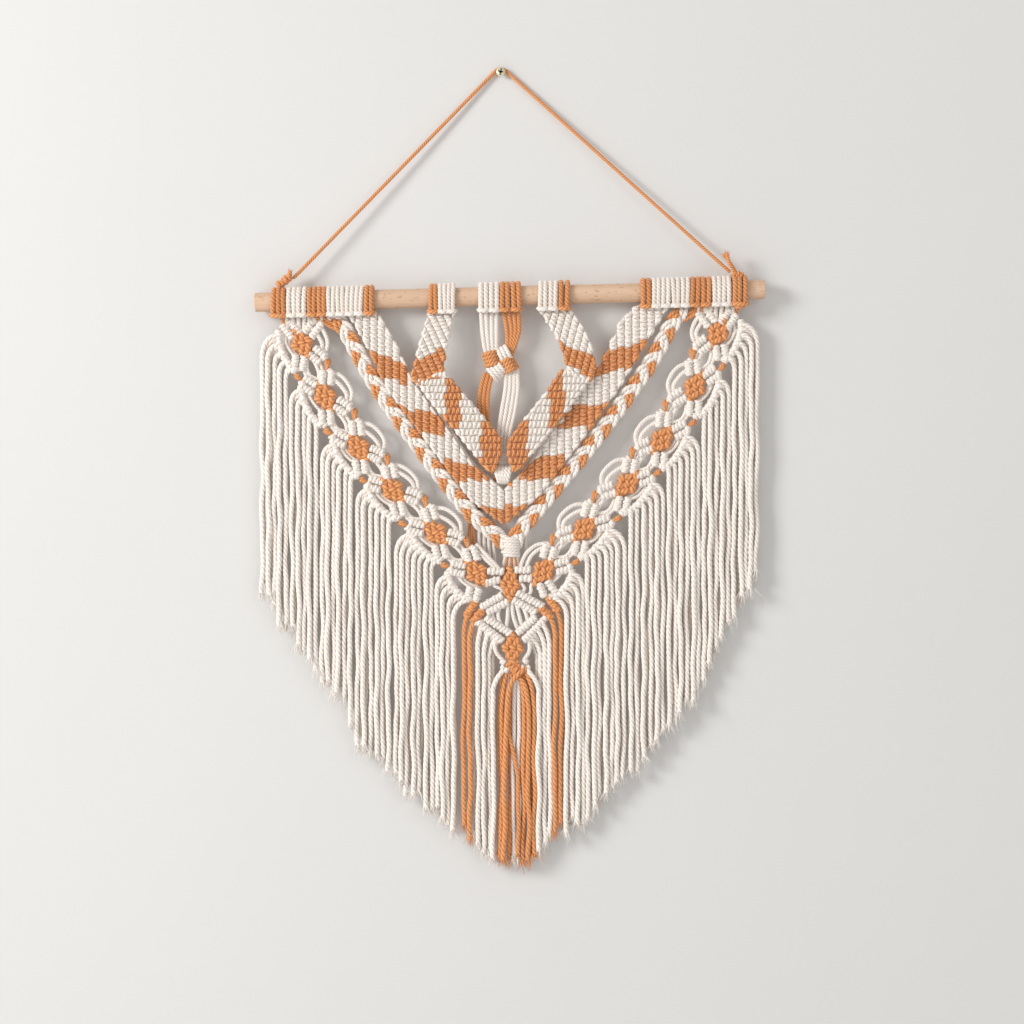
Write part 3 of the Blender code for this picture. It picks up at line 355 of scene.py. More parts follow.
def half_hitches(skein, path, half_width, half_depth, pitch, dye, cord=1.6, fill=True, shear=0.0):
    """A bar of half hitches: a cord that winds round the path as an ellipse, once in each pitch,
    with its widest places at cosine 1 across the bar and its front at sine -1 in depth.  Shear
    moves each place along the bar by its share of the place across."""
    line = evenly(np.column_stack((path, np.broadcast_to(shear, (len(path),)))), 0.6)
    reach = np.linalg.norm(np.diff(line[:, :3], axis=0), axis=1).sum()
    turns = max(1, int(round(reach / pitch)))
    places = np.linspace(0.0, 1.0, turns * 20 + 1)
    share = np.linspace(0.0, 1.0, len(line))
    centre = np.stack([np.interp(places, share, column) for column in line.T], axis=1)
    centre, lag = centre[:, :3], centre[:, 3]
    tangent, normal, side = frames(centre, DEPTH)
    angle = 2 * np.pi * (turns * places + 0.25)
    swell = 1.0 + 0.07 * np.sin(np.pi * turns * places + 6.0 * skein.chance.random())
    across = (half_width - cord) * np.cos(angle) * (2.0 * swell - 1.0)
    depth = (half_depth - cord) * np.sin(angle) * swell
    wound = centre + across[:, None] * side + depth[:, None] * normal
    wound = wound + (lag * across)[:, None] * tangent
    laid_cord(skein, np.hstack((wound, tangent)), cord, dye, tight=1.3)
    if fill:
        core(skein, line[:, :3], half_width - 0.9, half_depth - 1.3, dye, shear=line[:, 3])


def frayed_tip(skein, tip, radius, dye, way=(0.0, 0.0, -1.0), count=15, length=9.0, tint=0.5):
    """Loose fibres at a cut end: thin three-sided spikes that start inside the cord's radius and
    splay by up to a third of their length, curving a little, all in front of the wall."""
    chance = skein.chance
    tip, way = np.asarray(tip, float), unit(np.asarray(way, float))
    spread = chance.normal(0.0, 0.42, (count, 3))
    spread -= way * np.sum(spread * way, axis=1, keepdims=True)
    reach = length * (0.45 + 0.55 * chance.random(count))[:, None, None]
    start = (tip - 2.5 * way + spread * radius * 1.1)[:, None, :]
    share = np.linspace(0.0, 1.0, 4)[:, None]
    bend = chance.normal(0.0, 0.16, (count, 1, 3))
    line = start + reach * (way * share + 0.55 * spread[:, None, :] * share + bend * share ** 2)
    line[..., 1] = np.minimum(line[..., 1], -WALL_GAP)
    angle = 2 * np.pi * np.arange(3) / 3
    one = unit(np.cross(way, (0.3, 1.0, 0.2)))
    circle = np.cos(angle)[:, None] * one + np.sin(angle)[:, None] * np.cross(way, one)
    faces, uv = ring_faces(4, 3)
    lightest = np.full_like(uv, 1.0 / 12.0)
    for fibre in line:
        ring = fibre[:, None, :] + (0.5 * (1.0 - 0.7 * share))[..., None] * circle
        ends = fibre[[0, -1]]
        skein.add(np.vstack((ring.reshape(-1, 3), ends)), faces, lightest, dye, tint)


def woven_knot(skein, centre, along, length=29.5, width=16.5, cord=2.65):
    """A knot in plain weave that fills a rhombus: three cords parallel to one pair of its sides
    and three to the other; depth is a cosine from crossing to crossing, with the sign that makes
    the cords go over and under by turns.  The ends dip."""
    half = math.atan2(width, length)
    edge = 0.5 * math.hypot(width, length)
    along = unit(along)
    across = np.cross(along, DEPTH)
    crossing, dips_from, height = 0.68, 0.88, 1.5
    t = np.linspace(-1.0, 1.0, 41)
    dip = np.clip((np.abs(t) - dips_from) / (1.0 - dips_from), 0.0, 1.0) ** 2
    for sense in (1, -1):
        way = along * math.cos(half) + sense * across * math.sin(half)
        other = along * math.cos(half) - sense * across * math.sin(half)
        for row in (-1, 0, 1):
            wave = np.cos(np.pi * (t / crossing + row)) * sense
            y = -height * wave * (1.0 - dip) + dip * 0.8
            path = centre + row * edge / 2.9 * other + 0.51 * edge * t[:, None] * way
            path = path + y[:, None] * DEPTH
            laid_cord(skein, path, cord, RUST, tight=0.8)
    core(skein, np.stack((centre - along * 0.32 * length, centre + along * 0.32 * length)),
         0.30 * width, 1.6, RUST)


# ---- parts of the hanging


def dowel_turns(skein, name):
    """Lark's heads on the dowel: each turn goes up in front, over in a half circle and down
    behind; a cross bar joins each two turns under the dowel."""
    reach = DOWEL["radius"] + TURN_CORD + 0.15
    front = 0.72 * reach
    for start, end, turns, dye in TURNS[name]:
        pitch = (end - start) / turns
        heads = start + pitch * (np.arange(turns) + 0.5)
        heads = heads + skein.chance.normal(0.0, 0.12, turns)
        radius = min(TURN_CORD + 0.2, 0.545 * pitch)
        for x in heads:
            angle = np.linspace(0.0, np.pi, 15)
            arc = np.stack((np.zeros(15), -reach * np.cos(angle), reach * np.sin(angle)), axis=1)
            tail = np.array(((0.0, -front, -HEADING_DROP), (0.0, -0.97 * reach, -5.0)))
            path = np.vstack((tail, arc, tail[::-1] * (1.0, -0.9, 1.0)))
            path[:, 0] += skein.chance.normal(0.0, 0.25) * path[:, 2] / 8.0
            darker = -0.4 * skein.chance.random() - (0.05 if dye == RUST else 0.2)
            laid_cord(skein, spline(path + leaned(x - DOWEL["x"], DOWEL["z"]), 4), radius, dye,
                      reference=(1.0, 0.0, 0.0), sides=9, tint=darker)
        step = 2 if turns % 2 == 0 else turns
        for first in range(0, turns, step):
            left, right = heads[first] - 1.2, heads[first + step - 1] + 1.2
            middle = 0.5 * (left + right)
            x, y, z = leaned(middle - DOWEL["x"], DOWEL["z"] - HEADING_DROP) - DEPTH * front
            path = ((left - 0.6, y + 3.0, z + 1.0), (left, y - 0.4, z + 0.3),
                    (middle, y - 2.0, z - 0.2), (right, y - 0.4, z + 0.3),
                    (right + 0.6, y + 3.0, z + 1.0))
            laid_cord(skein, spline(path), 2.0, dye)


def band_layout(side):
    """Centres of the rust knots of one arm, and its inner and outer junctions between them."""
    knots = np.array([leaned(across, z, side) for across, z in BAND_KNOTS])
    along = unit(np.diff(knots, axis=0))
    out = np.stack((-along[:, 2], np.zeros(LAST_KNOT), along[:, 0]), axis=1) * side
    middle = 0.5 * (knots[1:] + knots[:-1])
    inner = middle - INNER_REACH * out
    outer = middle + OUTER_REACH * out
    top = [leaned(across, z, side) for across, z in BAND_TOP]
    last = leaned(*BAND_LAST, side)
    return knots, np.vstack((top[0], inner)), np.vstack((top[1], outer, last))


def knot_frame(knots, index, side):
    """Directions along and out of the band at one of its knots."""
    along = unit(knots[min(index + 1, len(knots) - 1)] - knots[max(index - 1, 0)])
    return along, np.array((-along[2], 0.0, along[0])) * side


def bar_pair(skein, junction, knot, start=0.20, end=0.64):
    """Two half-hitch bars side by side on the way from a junction to a rust knot."""
    way = unit(knot - junction)
    square = np.cross(way, DEPTH)
    places = np.array(((start,), (end,))) * np.linalg.norm(knot - junction)
    for side in (-1, 1):
        shift = square * 3.4 * side + way * skein.chance.normal(0.0, 0.35)
        half_hitches(skein, junction + way * places + shift, 3.6, 4.1, 2.9, CREAM, cord=1.66)


# cords beside a rust knot: radius; along, out of and behind the band, from the knot
KNOT_CORDS = (
    (1.9, ((-15, -12.6, 1.6), (-9, -18, 0.4), (-1, -20.2, 0), (7.5, -19.4, 0.2),
           (13.5, -14.6, 1.6))),
    (1.9, ((-13.5, -8.6, 1.2), (-7, -12.4, 0), (0, -14.6, -0.4), (7, -14.8, 0), (12.5, -11, 1.4))),
    (1.5, ((-11, 9, 1.6), (-6, 11.6, 1), (3, 10.8, 1), (10, 7.6, 1.6))),
    (1.5, ((-9, 7.2, 2.4), (-3, 9.6, 2.2), (4, 8.4, 2.2), (10, 5.2, 2.4))),
)
# cords round the eye half way between two knots: along, out of and behind the band
EYE_CORDS = (
    ((-9.6, 1.6, 1.6), (-4, 4.2, 0.6), (3, 4.2, 0.6), (9.6, -1.6, 1.6)),
    ((-8.4, 4.2, 1.8), (-3, 7, 0.8), (4, 6.6, 0.8), (10, 2, 1.8)),
    ((-9.6, -1.8, 1.8), (-3, -3.2, 0.8), (4, -2.6, 0.8), (9.4, 0.4, 1.8)),
    ((-9.8, -4.6, 2), (-3, -6.6, 1.2), (3.4, -6.2, 1.2), (9, -2.6, 2)),
)
# cords between the dowel's turns and the band: across, z, dye, end
ROOF_CORDS = (
    (175, -188, CREAM, (174, -199)), (170.4, -188, CREAM, (169, -202)),
    (166, -188, CREAM, (164.6, -203)), (161, -188, CREAM, (161.6, -203)),
    (157.6, -188, CREAM, (156, -201)), (151, -186, RUST, (134, -197.4)),
    (154, -187, RUST, (136, -200)), (147.6, -188, CREAM, (149, -200)),
    (178.4, -187.4, RUST, (176.6, -196.6)),
)


def local_cord(skein, origin, along, out, rows, radius):
    """A cream cord whose points are given along and out of the band, and back, from an origin."""
    laid_cord(skein, spline(origin + rows @ np.stack((along, out, DEPTH))), radius, CREAM)


def bead(skein, place, way, width=3.3):
    """A single cream hitch seen as a bead: one turn and a half round a short stretch."""
    reach = 1.7 * unit(way)
    half_hitches(skein, np.stack((place - reach, place + reach)), width, 3.4, 2.3, CREAM, cord=1.55)


def band_arm(skein, side):
    """One arm of the V-band: rust knots, pairs of cream bars to the junctions, loops beside the
    knots, cords round the eyes, and beads with rust bits at the junctions."""
    knots, *junctions = band_layout(side)
    for index, knot in enumerate(knots):
        along, out = knot_frame(knots, index, side)
        turn = skein.chance.normal(0.0, 0.08)
        woven_knot(skein, knot, along * math.cos(turn) + out * math.sin(turn))
        for line in junctions:
            bar_pair(skein, line[index], knot, *((0.20, 0.64) if index else (0.06, 0.68)))
        for cord, rows in KNOT_CORDS[2 if index == LAST_KNOT else 0:]:
            rows = np.array(rows, float)
            rows[1:-1, 1] += skein.chance.normal(0.0, 0.5)
            local_cord(skein, knot, along, out, rows, cord)
        if index == LAST_KNOT:
            break
        for line in junctions:
            bar_pair(skein, line[index + 1], knot)
        for across, z, dye, end in ROOF_CORDS if index == 0 else ():
            rows = ((across, z, -3.0), (0.6 * across + 0.4 * end[0], 0.5 * (z + end[1]), -1.0),
                    (*end, 1.2))
            path = [leaned(a, b, side) + DEPTH * c for a, b, c in rows]
            laid_cord(skein, spline(path), 1.9, dye)
        along = unit(knots[index + 1] - knot)
        out = np.array((-along[2], 0.0, along[0])) * side
        middle = 0.5 * (knots[index + 1] + knot)
        shift = skein.chance.normal(0.0, 0.8)
        for rows in EYE_CORDS:
            local_cord(skein, middle, along, out, np.array(rows) + (0.0, shift, 0.0), 1.7)
        for place in (-5.4, 5.6):
            bead(skein, middle + along * place + out * (OUTER_REACH - 1.6), along, width=3.6)
            bead(skein, middle + along * place - out * (INNER_REACH - 1.2), along)
        for edge, reach, size in ((-1.0, INNER_REACH - 0.8, 4.8), (1.0, OUTER_REACH - 0.8, 3.2)):
            for step in (-1.0, 0.0, 1.0):
                centre = middle + out * edge * (reach + 0.4 - 0.7 * abs(step))
                centre = centre + along * (1.5 * step + 0.6)
                way = size * unit(along * 0.75 - out * edge * (0.55 + 0.25 * step))
                back = centre + DEPTH * 1.8
                laid_cord(skein, spline((back - way, centre - DEPTH * 1.7, back + way)), 1.5, RUST)


# rust knots of the middle of the band: x and z, length, width, cord
MIDDLE_KNOTS = (
    ((7.2, -403), 31, 15, 2.5), ((9.5, -453.2), 28.5, 16.5, 2.65), ((10.8, -467.2), 16, 10, 1.7),
)
# start and end of each bar in the middle of the band
MIDDLE_BARS = (
    ((-10.6, -392.7), (2.6, -393)), ((-12.4, -402.6), (-0.4, -399.2)),
    ((23.4, -391.8), (11, -391.8)), ((24.6, -398.3), (14.4, -398.6)),
    ((-15.8, -421.6), (1.2, -411.6)), ((-11, -425.4), (6, -416.4)),
    ((33.3, -420.6), (12.6, -409.4)), ((27.8, -425.2), (9.4, -415)), ((-12, -429.2), (8, -442)),
    ((-18.2, -432.4), (1.6, -447.8)), ((27.6, -428.6), (12.6, -441.6)),
    ((33.6, -431), (17.8, -447.4)), ((-23.8, -404.6), (-26.4, -415.6)),
    ((-17, -406), (-20.4, -417.4)), ((29.9, -402), (34.4, -413.4)), ((36.6, -400.2), (43, -409.6)),
)
# cords of the middle: radius; x, z, depth
MIDDLE_CORDS = (
    (1.75, ((2.8, -413, 1.4), (5.2, -420, 0.6), (5.4, -428, 0.6), (4.2, -438, 1.6))),
    (1.75, ((0.6, -414, 1.6), (-1, -420.6, 0.8), (-2, -427.6, 0.6), (0.2, -436.4, 1.8))),
    (1.75, ((-4, -417, 1.8), (-6.4, -423, 1), (-6.4, -428.4, 1), (-3.4, -434, 1.8))),
    (1.75, ((9, -413, 1.4), (9, -421, 0.6), (10, -429, 0.6), (13, -438, 1.6))),
    (1.75, ((11, -414, 1.6), (13, -421.6, 0.8), (15, -429.4, 0.8), (16.6, -435, 1.8))),
    (1.75, ((14.6, -415, 1.8), (18, -422, 1), (20.4, -428.4, 1), (21.6, -433.4, 1.8))),
    (1.75, ((19, -418, 2.2), (22.6, -422.6, 1.6), (24.4, -427, 1.6), (25, -430, 2.2))),
    (1.9, ((-1.5, -444, 0.6), (-4.6, -449.1, 0), (-3.4, -456.6, 0), (2, -463, 0.6))),
    (1.9, ((20, -444, 0.6), (22.4, -449.1, 0), (22.2, -456, 0), (18, -462.4, 0.6))),
    (1.8, ((-19.4, -371.6, 1.4), (-15, -376, 0.4), (-9, -382.4, 0), (-1, -391, 1.4))),
    (1.8, ((-16.8, -378.6, 1.4), (-12.4, -383.1, 0.4), (-7.6, -387.4, 0.2), (-3.4, -391.6, 1.6))),
    (1.8, ((36.6, -370.6, 1.4), (27.4, -372.6, 0.4), (19.4, -379.6, 0), (15.2, -390, 1.4))),
    (1.8, ((33, -374, 1.8), (27.3, -377.4, 0.6), (22.8, -382.6, 0.4), (19.8, -390.6, 1.6))),
    (1.6, ((-8, -400, 1.6), (-4.4, -404.6, 0), (0.4, -406.8, 0.6), (2.4, -411, 1.8))),
    (1.6, ((12.6, -402, 1.8), (17, -403.6, -0.2), (18.6, -407, 0.2), (15, -411, 1.8))),
    (1.6, ((25.4, -400, 1.8), (23.6, -404.6, 0), (23.6, -409, 0.4), (20, -413.6, 1.8))),
)
# hitches that look like beads: x, z and the way of the bar they end
MIDDLE_BEADS = (
    (2, -464.2, 0.5, -0.8), (4.4, -470.4, 0.7, -0.6), (19.4, -463.2, -0.5, -0.8),
    (17.6, -469.2, -0.7, -0.6), (-19.4, -433.4, -1, 0.7), (34.8, -429.6, 1, 0.8),
)


def band_middle(skein):
    """The middle of the V-band: three rust knots, bars, cords in the small diamond, and the beads
    under it."""
    for place, length, width, cord in MIDDLE_KNOTS:
        woven_knot(skein, flat(place), np.array((0.0, 0.0, -1.0)), length, width, cord)
    for ends in MIDDLE_BARS:
        half_hitches(skein, flat(ends), 3.6, 4.1, 3.0, CREAM, cord=1.68)
    for radius, rows in MIDDLE_CORDS:
        laid_cord(skein, spline(flat(rows)), radius, CREAM)
    for x, z, way_x, way_z in MIDDLE_BEADS:
        bead(skein, flat((x, z)), np.array((way_x, 0.0, way_z)))


def painted_shade_tint(skein):
    """The tint of a strand that hangs behind the others: painted shade, towards the shade colour.
    """
    return -0.3 - 0.6 * skein.chance.random()


def hanging_strand(skein, start, x, end, dye, depth=0.0, radius=2.0, sway=0.6, tint=None):
    """A strand from its start points straight down to its end: slow sine waves of different
    lengths sway it sideways and in depth, growing from nothing at the top."""
    chance = skein.chance
    top = start[-1][2]
    z = np.linspace(top - 6.0, end, max(4, int((top - end) / 8.0)))
    fall = np.clip((top - z) / 45.0, 0.0, 1.0)
    length = 60.0 + 60.0 * chance.random(2)
    phase = 2 * np.pi * chance.random(2)
    lean = chance.normal(0.0, 0.7)
    shift = sway * fall * np.sin(2 * np.pi * z / length[0] + phase[0])
    shift = shift + lean * fall * (top - z) / 200.0
    shift = shift + 0.32 * fall * np.sin(2 * np.pi * z / (0.45 * length[1]) + phase[1])
    deep = depth + 0.7 * sway * fall * np.sin(2 * np.pi * z / length[1] + phase[1])
    hang = np.stack((x + shift, DOWEL["y"] + deep, z), axis=1)
    path = np.vstack((start, hang))
    sides, count = (9, 15) if tint is None else (6, 9)
    laid_cord(skein, spline(path, 5), radius, dye, sides=sides, tight=1.45, tint=tint)
    frayed_tip(skein, hang[-1], radius, dye, count=count, tint=0.5 if tint is None else tint)


# line of the fringe's bar beside a rust knot: along and out of the band
STRIP = ((-16.5, 12.4), (-12.5, 14.6), (-6, 16.4), (2, 17), (9, 16.6), (15.5, 14.8), (19, 12.8))
STRIP_LAST = ((-16.5, 15), (-12, 18.6), (-4.2, 21), (4, 21.2), (9.4, 19.6), (12, 17))


def scallop(skein, index, side):
    """One scallop of the fringe: a half-hitch bar beside the knot, and strands that leave it
    outwards over a quarter of an ellipse and fall; as many hang behind them, darker by painted
    shade."""
    knots = band_layout(side)[0]
    along, out = knot_frame(knots, index, side)
    rows, last = (STRIP_LAST, 1.25) if index == LAST_KNOT else (STRIP, 1.06)
    strip = evenly(spline([knots[index] + along * a + out * b for a, b in rows]), 0.5)
    half_hitches(skein, strip, 3.7, 4.2, 4.1, CREAM, cord=2.05)
    nearest, farthest, count = SCALLOPS[index]
    swing = np.sin(np.radians((12.0, 32.0, 52.0, 72.0, 90.0)))
    fall = 1.0 - np.cos(np.radians((12.0, 32.0, 52.0, 72.0, 90.0)))
    for number in range(2 * count):
        behind = number >= count
        share = last * (number - count + 0.5) / count if behind else number / (count - 1)
        root = strip[int(round((0.10 + 0.80 * min(share, 1.0)) * (len(strip) - 1)))]
        x = DOWEL["x"] + side * (farthest + (nearest - farthest) * share)
        x += skein.chance.normal(0.0, 0.35)
        start = root + out * 1.6 - DEPTH * 1.2
        reach = side * (x - start[0])
        # painted shade on the strands that hang behind
        depth = 4.2 + skein.chance.random() if behind else 0.9 * (-1) ** number
        tint = painted_shade_tint(skein) if behind else None
        sweep = np.stack((start[0] + side * reach * swing,
                          start[1] + (DOWEL["y"] + depth - start[1]) * swing ** 2,
                          start[2] - (1.15 * max(reach, 2.0) + 3.0) * fall), axis=1)
        lead = np.vstack((root + DEPTH * 1.5, start, sweep))
        end = np.interp(x, *END_LINE.T) + skein.chance.normal(0.0, 3.0) + (6.0 if behind else 0.0)
        hanging_strand(skein, lead, x, end, CREAM, depth=depth, tint=tint)


def inside(points, area):
    """Whether each point lies in an area: an odd number of its edges pass to the right of it."""
    area = np.asarray(area, float)
    after = np.roll(area, -1, axis=0)
    x, z = points[:, None, 0], points[:, None, 1]
    spans = (area[:, 1] > z) != (after[:, 1] > z)
    rise = np.where(after[:, 1] == area[:, 1], 1e-9, after[:, 1] - area[:, 1])
    edge = area[:, 0] + (z - area[:, 1]) * (after[:, 0] - area[:, 0]) / rise
    return (spans & (x < edge)).sum(axis=1) % 2 == 1


def panel_y(z, depth):
    """Depth of a panel: it leaves the dowel at -14.6 and eases to its own plane 26 mm lower."""
    drop = np.clip((-188.0 - z) / 26.0, 0.0, 1.0)
    return -14.6 + (depth + 14.6) * drop * drop * (3.0 - 2.0 * drop)


# cords along the inner edges of the long panels: x, z
EDGE_CORDS = {
    "outer_panel_left": ((-67, -244.5), (-39, -283), (-21, -309), (0, -328)),
    "outer_panel_right": ((72, -240), (58, -255.8), (26, -305), (5, -328)),
}


def rib_span(outline, way, square, offset):
    """Where a line along a rib enters and leaves the outline, or nothing if it misses it."""
    t = np.linspace(-520.0, 520.0, 4161)
    held = t[inside(t[:, None] * way + offset * square, outline)]
    return (held[0], held[-1]) if len(held) else None


def ribbed_panel(skein, name, angle, depth, rib, grain=0.0):
    """A knotted panel: straight ribs at an angle, wound with half hitches, whose cord is rust
    inside the rust areas.  Hitches lie across the rib at the grain's slope, and at both ends
    of a rib at the slope of the outline there, over the last 7 mm."""
    outline, areas = PANELS[name]
    angle = math.radians(angle)
    way = np.array((math.cos(angle), math.sin(angle)))
    square = np.array((-way[1], way[0]))
    corners = np.asarray(outline, float)
    low, high = (corners @ square).min(), (corners @ square).max()
    count = max(2, int(round((high - low) / rib)))
    rib = (high - low) / count
    for index in range(count):
        offset = low + rib * (index + 0.5)
        span = rib_span(outline, way, square, offset)
        if span is None or span[1] - span[0] < 2.0:
            continue
        low_side, high_side = (rib_span(outline, way, square, offset + share * rib) or span
                               for share in (-0.42, 0.42))
        slopes = np.clip(np.subtract(high_side, low_side) / (0.84 * rib), -1.5, 1.5)
        start, end = span[0] + 0.6, span[1] - 0.6
        cells = max(2, int(round((end - start) / HITCH_PITCH)))
        edges = np.linspace(start, end, cells + 1)
        middles = 0.5 * (edges[1:] + edges[:-1])[:, None] * way + offset * square
        rust = np.zeros(cells, bool)
        for area in areas:
            rust |= inside(middles, area)
        cuts = np.flatnonzero(np.diff(rust.astype(int))) + 1
        for first, last in zip(np.r_[0, cuts], np.r_[cuts, cells]):
            places = np.linspace(edges[first], edges[last], 2 * (last - first) + 2)
            near = np.clip(1.0 - np.stack((places - start, end - places)) / 7.0, 0.0, 1.0)
            shear = grain * (1.0 - near.sum(axis=0).clip(0.0, 1.0))
            shear = shear + near[0] * slopes[0] + near[1] * slopes[1]
            line = places[:, None] * way + offset * square
            path = flat(line, panel_y(line[:, 1], depth))
            dye = RUST if rust[first] else CREAM
            pitch = (edges[last] - edges[first]) / (last - first)
            half_hitches(skein, path, 0.585 * rib, 3.1, pitch, dye, cord=1.5, fill=False,
                         shear=shear)
            core(skein, path, 0.50 * rib, 1.1, dye, shear=shear)


def plait(skein, rows):
    """Three pairs of cords in a plait: sine across, and the sine of twice the angle in depth,
    each pair a third of a repeat behind the last."""
    repeat, width, depth, apart, radius = 30.0, 3.3, 1.9, 1.7, 2.05
    line = evenly(spline(flat(rows)), 1.0)
    _, normal, side = frames(line, DEPTH)
    for strand, dye in enumerate((CREAM, RUST, CREAM)):
        angle = 2 * np.pi * (np.arange(len(line)) / repeat + strand / 3.0)[:, None]
        centre = line + width * np.sin(angle) * side - depth * np.sin(2 * angle) * normal
        wide = frames(centre, DEPTH)[2]
        for pair in (-apart, apart):
            laid_cord(skein, centre + pair * wide, radius, dye)


def whipping(skein):
    """The whipping that gathers the plaits, seven turns, with its tails fanned out below."""
    half_hitches(skein, flat(((8.0, -366.2), (8.0, -381.4))), 7.4, 5.4, 2.15, CREAM, cord=1.5)
    for number, shift in enumerate((-6.4, -4.0, -1.6, 0.8, 3.2, 5.6, 7.0)):
        rows = ((0.5, -377.0, 1.0), (0.8, -385.0, 4.6), (1.0, -391.0, 7.0), (1.3, -401.0, 7.4))
        path = flat([(8.0 + a * shift, *row) for a, *row in rows])
        laid_cord(skein, spline(path), 1.6, RUST if number in (1, 3, 5) else CREAM)


# cords of the centre tie: dye, x at the dowel, at -205, at -218 and where it enters the knot
TIE_DROPS = (
    (CREAM, -15.4, -14.4, -12.4, -9.6), (CREAM, -11.6, -10.8, -9.4, -7.4),
    (CREAM, -7.2, -7, -6.4, -5.4), (CREAM, -3.4, -3.4, -3.4, -3), (RUST, 2.2, 4.9, 5, 3.6),
    (RUST, 6, 8.4, 6.8, 4.6), (RUST, 10.2, 11.3, 8.4, 6), (RUST, 13.8, 14.2, 10.2, 7),
)
# lobes of the crown knot: dye, centre, angle of the cords in degrees, half length, number, spacing
CROWN_LOBES = (
    (RUST, (-7.2, -226.2), 16, 5.5, 4, 2.9), (CREAM, (2.8, -223), -62, 5.7, 3, 3.2),
    (RUST, (6, -231.4), 28, 5.5, 4, 2.8), (CREAM, (-3.2, -235.8), -50, 5.7, 4, 2.9),
)
# a cord over a lobe: share of the half length, and depth
LOBE = (
    (-1, 3.4), (-0.92, -0.6), (-0.45, -3.8), (0, -4.6), (0.45, -3.8), (0.92, -0.6), (1, 3.4),
)
# cords between the crown knot and the round knot: dye; x, z
TIE_BELOW = (
    (RUST, ((-12.4, -237), (-15.8, -250), (-17, -264), (-14, -290), (-6, -316))),
    (RUST, ((-9.6, -238), (-12.6, -250), (-13.7, -264), (-11, -290), (-4, -316))),
    (RUST, ((-6.8, -239), (-9.4, -250), (-10.4, -264), (-8, -290), (-2, -316))),
    (CREAM, ((4.4, -237), (3.6, -250), (0.6, -268), (-2.4, -290), (0, -316))),
    (CREAM, ((7.4, -236), (6.9, -250), (4, -268), (0.6, -290), (2, -316))),
    (CREAM, ((10.4, -235), (10.3, -250), (7.6, -268), (3.6, -290), (4, -316))),
    (CREAM, ((12.8, -234), (13.4, -250), (10.9, -268), (6.4, -290), (6, -316))),
)
# tails under the round knot: dye; x, z; depth behind the first
TIE_TAILS = (
    (RUST, ((-3, -318), (-12, -334), (-23.5, -352), (-25.6, -388)), 0),
    (RUST, ((-2, -318), (-10, -334), (-20, -352), (-21.6, -389)), 1),
    (CREAM, ((-1, -318), (-8, -336), (-16, -352), (-17.4, -390)), 0.4),
    (CREAM, ((0, -318), (-6, -336), (-12.4, -354), (-13, -391)), 1.2),
    (CREAM, ((1, -318), (-4, -338), (-9.2, -358), (-8.6, -392)), 0.2),
    (CREAM, ((2, -318), (-2, -338), (-5.6, -358), (-4.4, -392)), 1),
    (CREAM, ((4, -318), (10, -338), (18.4, -360), (20.4, -388)), 0.4),
)


def centre_tie(skein):
    """Eight cords from the dowel into a crown knot of four lobes, cords from there behind the
    panels to a round knot, and its tails."""
    for dye, *places in TIE_DROPS:
        path = flat(list(zip(places, (-189, -205, -218, -226), (-2.0, -0.8, 0.4, 1.4))))
        laid_cord(skein, spline(path), 1.8, dye, sides=9)
    for dye, middle, turn, reach, count, spacing in CROWN_LOBES:
        turn = math.radians(turn)
        way = np.array((math.cos(turn), 0.0, math.sin(turn)))
        for row in range(count):
            shift = flat(middle) + np.cross(way, DEPTH) * spacing * (row - 0.5 * (count - 1))
            path = [shift + way * reach * a + DEPTH * b for a, b in LOBE]
            laid_cord(skein, spline(path), 1.75, dye, sides=9)
    core(skein, flat(((-9.0, -224.0), (8.0, -235.0))), 7.5, 2.5, CREAM)
    for dye, rows in TIE_BELOW:
        laid_cord(skein, spline(flat(rows)), 1.75, dye, sides=9)
    for row in range(5):
        top, low = -4.4 + 2.9 * row, -1.4 + 1.6 * row
        path = ((top, -12.5, -310.6), (top, -17.0, -312.6), (0.5 * (top + low), -19.6, -317.0),
                (low, -17.6, -321.4), (low, -12.5, -323.4))
        laid_cord(skein, spline(path), 1.95, CREAM, sides=9)
    laid_cord(skein, spline(flat(((3.0, -322.0), (6.4, -323.6), (9.0, -326.5)), -15.5)), 1.9, RUST)
    for dye, rows, back in TIE_TAILS:
        path = flat(rows)
        path[:, 1] += (2.0, 5.4 + back, 6.6 + back, 6.8 + back)
        laid_cord(skein, spline(path), 1.6, dye)


# strands under the middle: root x and z, hang x, end z, depth
UNDER_STRANDS = {
    "rust_strands_left": (
        (-26, -425.5, -28.8, -592, 0.6), (-20.8, -430, -24.4, -603, -0.6),
    ),
    "rust_strands_right": (
        (43.6, -421.5, 47.2, -590, 0.6), (38.4, -427, 42.6, -598, -0.6),
    ),
    "fringe_centre_left": (
        (-15, -435.6, -18.2, -608, 0), (-9.6, -440, -13.2, -614, 0.6),
        (-4, -444.4, -9.4, -617, 2.8), (1.2, -470, -6, -619, -1.6),
        (-15, -434, -21.4, -604, 4.6), (-11, -438, -15.8, -610, 4.4),
        (-6, -442, -11.2, -612, 5), (-2, -446, -6.6, -615, 5.2),
    ),
    "fringe_centre_right": (
        (33, -433, 38, -600, 0), (28.6, -437, 34.4, -605, 0.6),
        (23, -442.5, 31, -610, 2.8), (21.6, -470, 29.6, -612, -1.6),
        (32, -433, 40.6, -598, 4.6), (29, -437, 36.2, -602, 4.4),
        (26, -441, 32.8, -606, 5), (22, -445, 28.2, -608, 5.2),
    ),
}
# short rust bars above the rust strands
LEAVES = {
    "rust_strands_left": (((-19.6, -416.4), (-27.4, -429)), ((-14, -423), (-22.6, -433))),
    "rust_strands_right": (((37, -412.6), (45.2, -424.6)), ((31, -421), (40.4, -430.4))),
}
